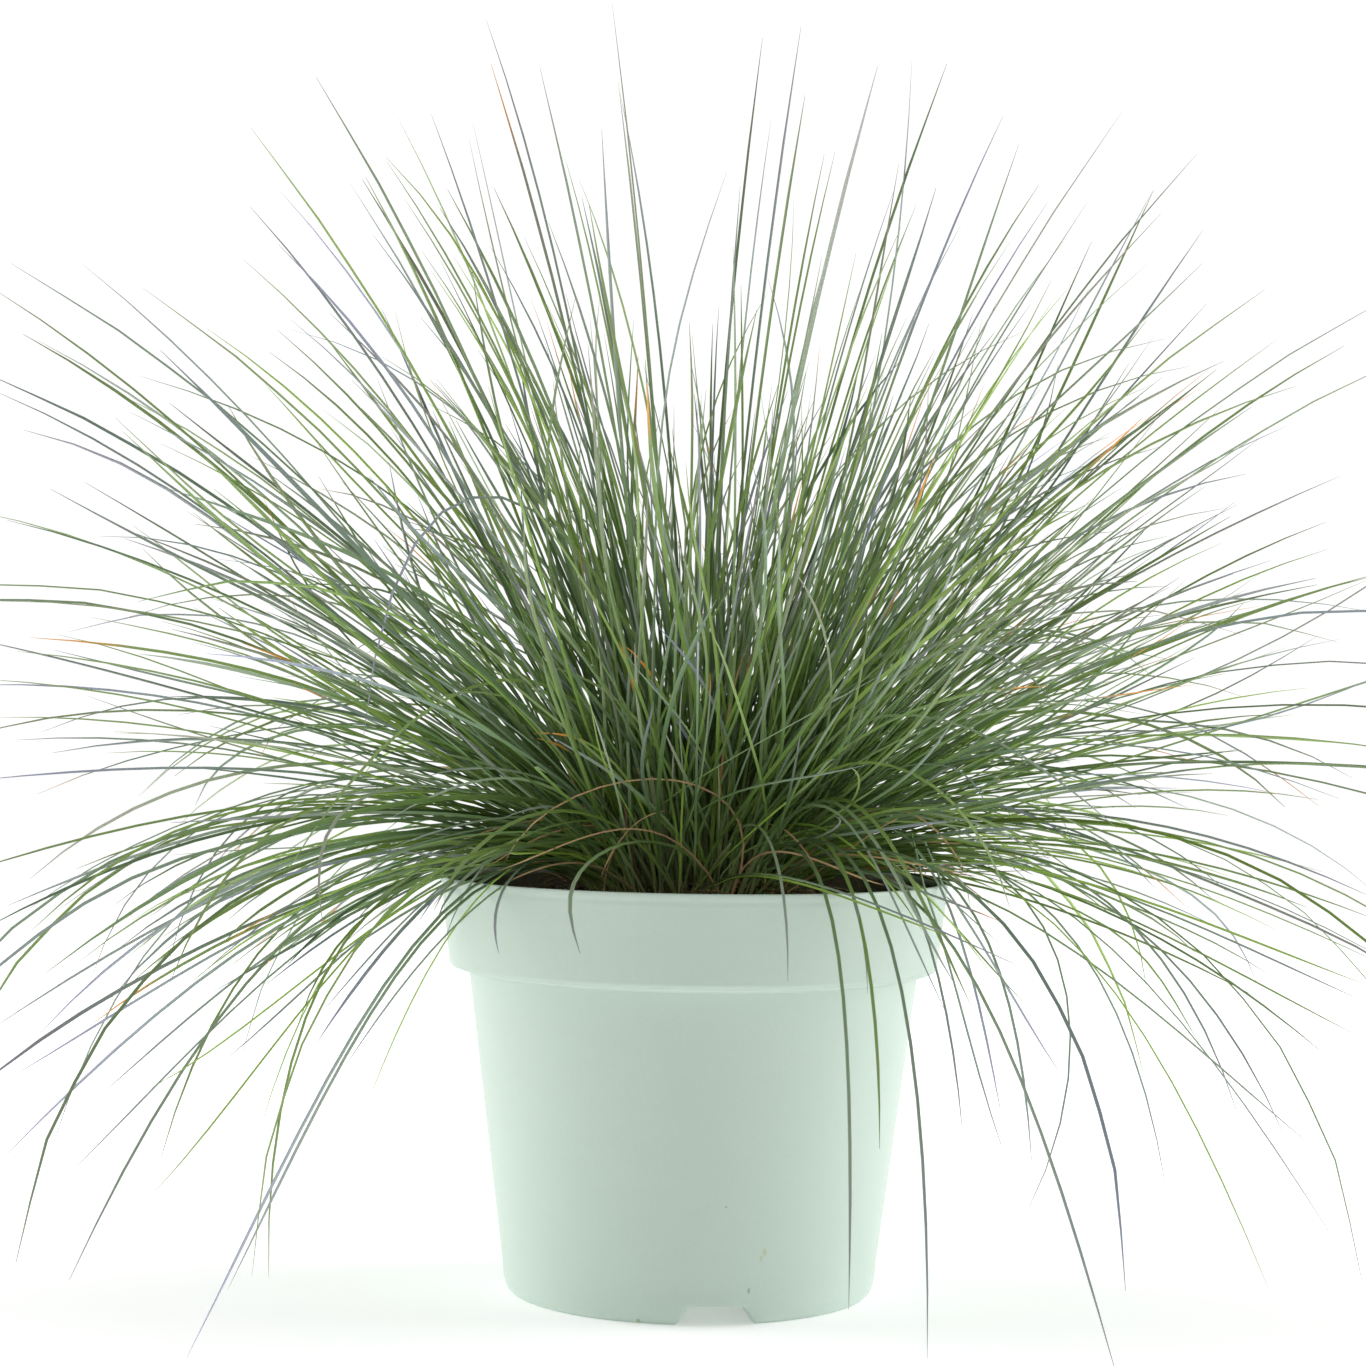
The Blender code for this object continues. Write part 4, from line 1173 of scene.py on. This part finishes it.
def skirtPaths(steps):
    # short low blades all round the crown that just clear the rim; few at the front
    chance = np.random.default_rng(55)
    count = skirtShape["blades"]
    azimuth = chance.uniform(0.0, 2.0 * math.pi, count)
    azimuth = azimuth[frontShare(azimuth) < chance.uniform(0.0, 0.45, count)]
    count = len(azimuth)
    start, rise, out, drop = (chance.uniform(*skirtShape[key], count)
                              for key in ("startRadius", "rimRise", "tipOut", "tipDrop"))
    swing = chance.normal(0.0, 0.20, (count, 3))
    radii = np.stack([start, 0.5 * (start + rimRadius) - 0.004, np.full(count, rimRadius - 0.006),
                      rimRadius + out], axis=1)
    heights = np.stack([np.full(count, skirtShape["startHeight"]), rimHeight + 0.75 * rise,
                        rimHeight + rise, rimHeight + drop + 0.3 * rise], axis=1)
    drift = np.concatenate([np.zeros((count, 1)), np.cumsum(swing, axis=1) * 0.5], axis=1)
    turned = azimuth[:, None] + drift
    places = np.stack([radii * np.cos(turned), radii * np.sin(turned), heights], axis=-1)
    return throughFour(places, steps)


placedCurve = {
    "rootOut": 0.034,  # how far out the flattest blade starts
    "rootSink": 0.002,
    "pull": (0.34, 0.64),  # the share for a straight blade, and for one that bends by bendMost
    "bendLeast": 60.0,
    "bendMost": 150.0,
}


def keyPaths(steps):
    # each placed blade is a cubic curve: from the crown, pulled along its first direction and back from
    # its tip along its last one, both as long as a share of the straight distance
    tips = np.array([row[:3] for row in keyBlades]) / 1000.0
    heading = np.arctan2(tips[:, 1], tips[:, 0])
    chord = tips - crownTop
    slope = np.arctan2(np.hypot(chord[:, 0], chord[:, 1]), chord[:, 2])
    lean = slope - np.radians([row[3] for row in keyBlades])
    end = slope + np.radians([row[4] for row in keyBlades])
    out = placedCurve["rootOut"] * np.abs(np.sin(lean))
    root = np.full(len(tips), crownHigh.z - placedCurve["rootSink"])
    base = np.stack([out * np.cos(heading), out * np.sin(heading), root], -1)
    reach = np.linalg.norm(tips - base, axis=1)
    bend = np.degrees(np.abs(end - lean))
    least, most = placedCurve["pull"]
    bentShare = smoothStep(placedCurve["bendLeast"], placedCurve["bendMost"], bend)
    pull = (least + (most - least) * bentShare)[:, None] * reach[:, None]
    first = base + directions(lean, heading) * pull
    second = tips - directions(end, heading) * pull
    t = np.linspace(0.0, 1.0, steps + 1)[None, :, None]
    terms = [(1 - t) ** 3, 3 * t * (1 - t) ** 2, 3 * t**2 * (1 - t), t**3]
    lines = sum(term * point[:, None, :] for term, point in zip(terms, (base, first, second, tips)))
    return settled(lines), heading, lean


def keyValues(heading):
    # the width, colour and roll of the placed blades as arrays, followed by those of the skirt's blades
    chance = np.random.default_rng(77)
    rows = [*keyBlades, *archBlades]
    free = len(heading) - len(rows)
    drawn = [skirtShape["tones"][i] for i in chance.integers(0, len(skirtShape["tones"]), free)]
    tones = np.array([keyTones[name] for name in [row[-1] for row in rows] + drawn])
    placedWidths = np.array([row[-2] for row in rows]) * 0.001
    widths = np.concatenate([placedWidths, chance.uniform(*skirtShape["halfWidth"], free)])
    return {"heading": heading, "halfWidth": widths,
            "tone": tones[:, :3], "shade": tones[:, 3], "roll": chance.normal(0.0, 0.4, len(tones)),
            "twist": chance.normal(0.0, 0.5, len(tones))}


def nearestTuft(heading, lean, allFacts):
    # a placed blade goes to the tuft with the most like direction, where a direction is the pair
    # (sin lean cos heading, sin lean sin heading)
    own = np.stack([np.sin(lean) * np.cos(heading), np.sin(lean) * np.sin(heading)], axis=-1)
    leans = np.array([f["lean"] for f in allFacts])
    headings = np.array([f["heading"] for f in allFacts])
    tufts = np.stack([np.sin(leans) * np.cos(headings), np.sin(leans) * np.sin(headings)], axis=-1)
    return np.linalg.norm(own[:, None] - tufts[None], axis=2).argmin(axis=1)


def growTufts():
    # one mesh for each tuft: its random blades and the placed ones that lie nearest to its direction
    nodes = sorted(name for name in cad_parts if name.split("_")[0] in tuftFill)
    allFacts = [tuftFacts(node) for node in nodes]
    placed = [paths(bladeShape["steps"]) for paths in (keyPaths, archPaths, skirtPaths)]
    keyLines, keyHeading, keyLean = (np.concatenate(group) for group in zip(*placed))
    keyAll = keyValues(keyHeading)
    owner = nearestTuft(keyHeading, keyLean, allFacts)
    for number, (node, facts) in enumerate(zip(nodes, allFacts)):
        points, b = tuftBlades(node, facts, 100 + number)
        mine = owner == number
        points = np.concatenate([points, keyLines[mine]])
        values = {key: np.concatenate([b[key], keyAll[key][mine]]) for key in keyAll}
        points[..., 2] = np.maximum(points[..., 2], bladeShape["floorClear"])
        piece = bladeMesh(f"{node}_blades", points, values)
        seat(piece, node, leafMaterial)
    return len(nodes)


print("tufts made:", growTufts())

crownShape = {
    "sheaths": 260,
    "sheathLength": (0.022, 0.060),
    "sheathRadius": (0.0006, 0.0011),
    "thatch": 150,
    "thatchLength": (0.010, 0.034),
    "thatchRadius": (0.00018, 0.0004),
    "domeSegments": 96,
    "domeRings": 16,
    "domeEdge": 0.1325,  # the height of the dome's edge
    "domeRoughness": 0.0007,
}


def sweptTubes(points, radii, sides):
    # round tubes along each line, closed at both ends with a fan
    count, rings = points.shape[:2]
    along = np.gradient(points, axis=1)
    along /= np.linalg.norm(along, axis=2, keepdims=True)
    flat = np.stack([-along[..., 1], along[..., 0], np.full(along.shape[:2], 1e-5)], axis=-1)
    side = flat - along * (flat * along).sum(axis=2, keepdims=True)
    side /= np.linalg.norm(side, axis=2, keepdims=True)
    upper = np.cross(along, side)
    angles = 2.0 * math.pi * np.arange(sides) / sides
    cosines, sines = np.cos(angles)[:, None], np.sin(angles)[:, None]
    ringShape = side[:, :, None, :] * cosines - upper[:, :, None, :] * sines
    corners = (points[:, :, None, :] + ringShape * radii[:, :, None, None]).reshape(-1, 3)
    offsets = (np.arange(count) * rings * sides)[:, None, None]
    walls = (gridFaces(rings, sides)[:, ::-1][None] + offsets).reshape(-1, 4)
    first = np.arange(sides)
    last = first + (rings - 1) * sides
    ends = np.stack([first, last[::-1]])
    caps = (ends[None] + offsets).reshape(-1, sides)
    return corners, [walls, caps]


def plainPaths(base, heading, lean, turn, swing, length, steps):
    # evenly bending lines without ripples
    still = np.zeros(len(base))
    return bladePaths({"base": base, "heading": heading, "lean": lean, "turn": turn, "swing": swing,
                       "length": length, "power": still + 1.0, "root": still + 1.0, "ripple": still,
                       "sideRipple": still, "waves": still, "phase": still}, steps)


def sheathLines(chance, count, steps=6):
    # shoot bases: they stand close together in the middle of the crown and lean out with their distance
    azimuth = chance.uniform(0.0, 2.0 * math.pi, count)
    radius = (crownRadius - 0.006) * chance.uniform(0.0, 1.0, count) ** 0.62
    base = np.stack([radius * np.cos(azimuth), radius * np.sin(azimuth), np.full(count, crownLow.z)], -1)
    base[:, 2] += 0.0018
    lean = np.radians(3.0 + 30.0 * radius / crownRadius + chance.normal(0.0, 6.0, count))
    turn = np.radians(14.0 * radius / crownRadius + chance.normal(2.0, 6.0, count))
    short, tall = crownShape["sheathLength"]
    length = chance.uniform(short, tall, count)
    heading = azimuth + np.radians(chance.normal(0.0, 16.0, count))
    swing = np.radians(chance.normal(0.0, 12.0, count))
    return plainPaths(base, heading, lean, turn, swing, length, steps)


def thatchLines(chance, count, steps=8):
    # dead fibres that curl over the crown and the soil round it
    azimuth = chance.uniform(0.0, 2.0 * math.pi, count)
    radius = crownRadius * chance.uniform(0.25, 1.15, count)
    x, y = radius * np.cos(azimuth), radius * np.sin(azimuth)
    base = np.stack([x, y, np.full(count, crownHigh.z - 0.004) + chance.uniform(0.0, 0.004, count)], -1)
    lean = np.radians(chance.uniform(35.0, 95.0, count))
    turn = np.radians(chance.uniform(20.0, 110.0, count))
    short, tall = crownShape["thatchLength"]
    length = chance.uniform(short, tall, count)
    heading = azimuth + np.radians(chance.normal(0.0, 70.0, count))
    swing = np.radians(chance.normal(0.0, 60.0, count))
    lines = plainPaths(base, heading, lean, turn, swing, length, steps)
    floor = soilTop(lines[..., 0], lines[..., 1]) + 0.0006
    lines[..., 2] = np.maximum(lines[..., 2], floor)
    away = np.hypot(lines[..., 0], lines[..., 1])
    pull = np.minimum(1.0, (soilRadius - 0.002) / np.maximum(away, 1e-6))
    lines[..., :2] *= pull[..., None]
    return lines


def crownDome():
    # the woody dome under the shoots: a rough grid of rings over a flat base
    count, rings = crownShape["domeSegments"], crownShape["domeRings"]
    azimuth = np.linspace(0.0, 2.0 * math.pi, count, endpoint=False)
    share = np.linspace(0.0, 1.0, rings + 1)[1:]
    edge = 1.0 + 0.05 * rippleField(np.cos(azimuth), np.sin(azimuth), 0.9, 8)
    radius = share[:, None] * crownRadius * edge
    x, y = radius * np.cos(azimuth), radius * np.sin(azimuth)
    dome = crownHigh.z - (crownHigh.z - crownShape["domeEdge"]) * share[:, None] ** 2
    rough = crownShape["domeRoughness"] * rippleField(x, y, 0.006, 9)
    z = dome + rough - 0.0016 * smoothStep(0.9, 1.0, share)[:, None]
    points = np.stack([x, y, z], axis=-1).reshape(-1, 3)
    skirt = np.stack([x[-1] * 0.98, y[-1] * 0.98, np.full(count, crownLow.z - 0.0002)], axis=-1)
    middles = [(0.0, 0.0, crownHigh.z), (0.0, 0.0, crownLow.z - 0.0002)]
    everything = np.concatenate([points, skirt, middles])
    faces = gridFaces(rings + 1, count)[:, ::-1]
    top = fanFaces(np.arange(count), len(everything) - 2, True)
    under = fanFaces(rings * count + np.arange(count), len(everything) - 1, False)
    return everything, [faces, top, under]


def crownFinish():
    # crownTone: 0 dark woody base, up to 1 pale green sheath; crownDry: straw to brown
    bench = Bench("crownFibre", 0.72)
    place = bench.place()
    tone = bench.attribute("crownTone")
    dry = bench.attribute("crownDry")
    fleck = bench.noise(bench.stretched(place, (1.0, 1.0, 0.25)), 500.0, 3.0)
    wood = bench.mix((0.050, 0.040, 0.022), (0.150, 0.108, 0.058), fleck)
    sheath = bench.mix((0.110, 0.118, 0.052), (0.270, 0.320, 0.140), tone)
    straw = bench.mix((0.120, 0.062, 0.028), (0.400, 0.270, 0.140), tone)
    living = bench.mix(wood, sheath, (tone * 8.0).held())
    bench.set("Base Color", bench.tinted(bench.mix(living, straw, dry), 0.75 + 0.5 * fleck))
    bench.bump(fleck, 0.0003, 0.6)
    return bench.material


def makeCrown():
    # the dome, the shoot bases and the thatch, as one mesh; each tube keeps one tone along its length
    chance = np.random.default_rng(31)
    domePoints, domeFaces = crownDome()
    sheaths = sheathLines(chance, crownShape["sheaths"])
    narrow, wide = crownShape["sheathRadius"]
    taper = np.linspace(1.0, 0.35, sheaths.shape[1])[None, :]
    sheathRadii = chance.uniform(narrow, wide, len(sheaths))[:, None] * taper
    sheathPoints, sheathFaces = sweptTubes(sheaths, sheathRadii, 6)
    thatch = thatchLines(chance, crownShape["thatch"])
    thinning = np.linspace(1.0, 0.4, thatch.shape[1])
    thatchRadii = chance.uniform(*crownShape["thatchRadius"], len(thatch))[:, None] * thinning
    thatchPoints, thatchFaces = sweptTubes(thatch, thatchRadii, 4)
    pointSets = [domePoints, sheathPoints, thatchPoints]
    starts = np.cumsum([0] + [len(p) for p in pointSets[:-1]])
    faceSets = (domeFaces, sheathFaces, thatchFaces)
    faces = [f + start for start, group in zip(starts, faceSets) for f in group]
    crown = addMesh("crown_sheaths", np.concatenate(pointSets), faces, sharpAngle=50.0)
    sheathTone = np.repeat(chance.uniform(0.15, 1.0, len(sheaths)), sheaths.shape[1] * 6)
    sheathDry = np.repeat((chance.uniform(0.0, 1.0, len(sheaths)) < 0.22) * 1.0, sheaths.shape[1] * 6)
    thatchTone = np.repeat(chance.uniform(0.0, 1.0, len(thatch)), thatch.shape[1] * 4)
    plain = np.zeros(len(domePoints))
    addValues(crown, "crownTone", np.concatenate([plain, sheathTone, thatchTone]))
    addValues(crown, "crownDry", np.concatenate([plain, sheathDry, np.ones(len(thatchPoints))]))
    seat(crown, "crown", crownFinish())


makeCrown()
print("crown made")

stageSetup = {
    "floorRadius": 6.0,
    "cameraDistance": 1.0,
    "cameraHeight": 0.1996,
    "cameraTurn": 0.28,
    "cameraUp": 0.21,
    "cameraRoll": 0.87,
    "lens": 78.3,
    "floorGlow": (0.27, 0.68),  # in the middle, and far out
    "worldSeen": 1.05,  # how bright the surroundings look
    "worldLight": 0.34,  # and how much light they give
}
studioLamps = (
    # name; place; what it faces; width and height; watts
    ("side_left", (-1.3, 0.25, 0.55), (0.0, 0.0, 0.15), (1.0, 1.4), 18.0),
    ("side_right", (1.3, 0.25, 0.55), (0.0, 0.0, 0.15), (1.0, 1.4), 19.0),
    ("overhead", (0.0, 0.1, 1.7), (0.0, 0.0, 0.2), (1.6, 1.6), 4.0),
)


def makeFloor():
    # a wide pale disc that gives off a little light of its own, more with the distance from the middle
    shape = bmesh.new()
    bmesh.ops.create_circle(shape, cap_ends=True, segments=96, radius=stageSetup["floorRadius"])
    mesh = bpy.data.meshes.new("studio_floor")
    shape.to_mesh(mesh)
    shape.free()
    floor = bpy.data.objects.new("studio_floor", mesh)
    bpy.context.scene.collection.objects.link(floor)
    bench = Bench("paleFloor", 0.8)
    bench.set("Base Color", (0.93, 0.93, 0.93))
    away = bench.node("ShaderNodeVectorMath", {"operation": "LENGTH"}, {0: bench.place()}, "Value")
    outward = (away * 1.2 - 0.3).held()
    inner, outer = stageSetup["floorGlow"]
    bench.set("Emission Color", bench.mix((inner, inner, inner), (outer, outer, outer), outward))
    bench.set("Emission Strength", 1.0)
    mesh.materials.append(bench.material)


def makeLight(name, place, target, size, power):
    # one soft rectangular lamp, turned to face its target
    light = bpy.data.lights.new(name, "AREA")
    light.shape = "RECTANGLE"
    light.size, light.size_y = size
    light.energy = power
    lamp = bpy.data.objects.new(name, light)
    lamp.location = place
    lamp.rotation_euler = (Vector(target) - Vector(place)).to_track_quat("-Z", "Y").to_euler()
    bpy.context.scene.collection.objects.link(lamp)


def makeWorld():
    # the camera sees plain white; the light that reaches the plant is softer
    world = bpy.data.worlds.new("studio")
    world.use_nodes = True
    tree = world.node_tree
    background = tree.nodes["Background"]
    background.inputs["Color"].default_value = (1.0, 1.0, 1.0, 1.0)
    path = tree.nodes.new("ShaderNodeLightPath")
    strength = tree.nodes.new("ShaderNodeMix")
    strength.data_type = "FLOAT"
    strength.inputs[2].default_value = stageSetup["worldLight"]
    strength.inputs[3].default_value = stageSetup["worldSeen"]
    tree.links.new(path.outputs["Is Camera Ray"], strength.inputs[0])
    tree.links.new(strength.outputs[0], background.inputs["Strength"])
    bpy.context.scene.world = world


def makeCamera():
    # in front of the pot at the height of the leaves: turned, tilted and rolled by the angles above
    camera = bpy.data.cameras.new("studio_camera")
    camera.lens = stageSetup["lens"]
    camera.sensor_width = 36.0
    camera.clip_end = 50.0
    holder = bpy.data.objects.new("studio_camera", camera)
    place = Matrix.Translation((0.0, -stageSetup["cameraDistance"], stageSetup["cameraHeight"]))
    heading = Matrix.Rotation(math.radians(stageSetup["cameraTurn"]), 4, "Z")
    tilt = Matrix.Rotation(math.radians(90.0 + stageSetup["cameraUp"]), 4, "X")
    roll = Matrix.Rotation(math.radians(stageSetup["cameraRoll"]), 4, "Z")
    holder.matrix_world = place @ heading @ tilt @ roll
    bpy.context.scene.collection.objects.link(holder)
    bpy.context.scene.camera = holder


makeFloor()
makeWorld()
for lamp in studioLamps:
    makeLight(*lamp)
makeCamera()
bpy.context.scene.view_settings.view_transform = "Standard"
print("stage set")
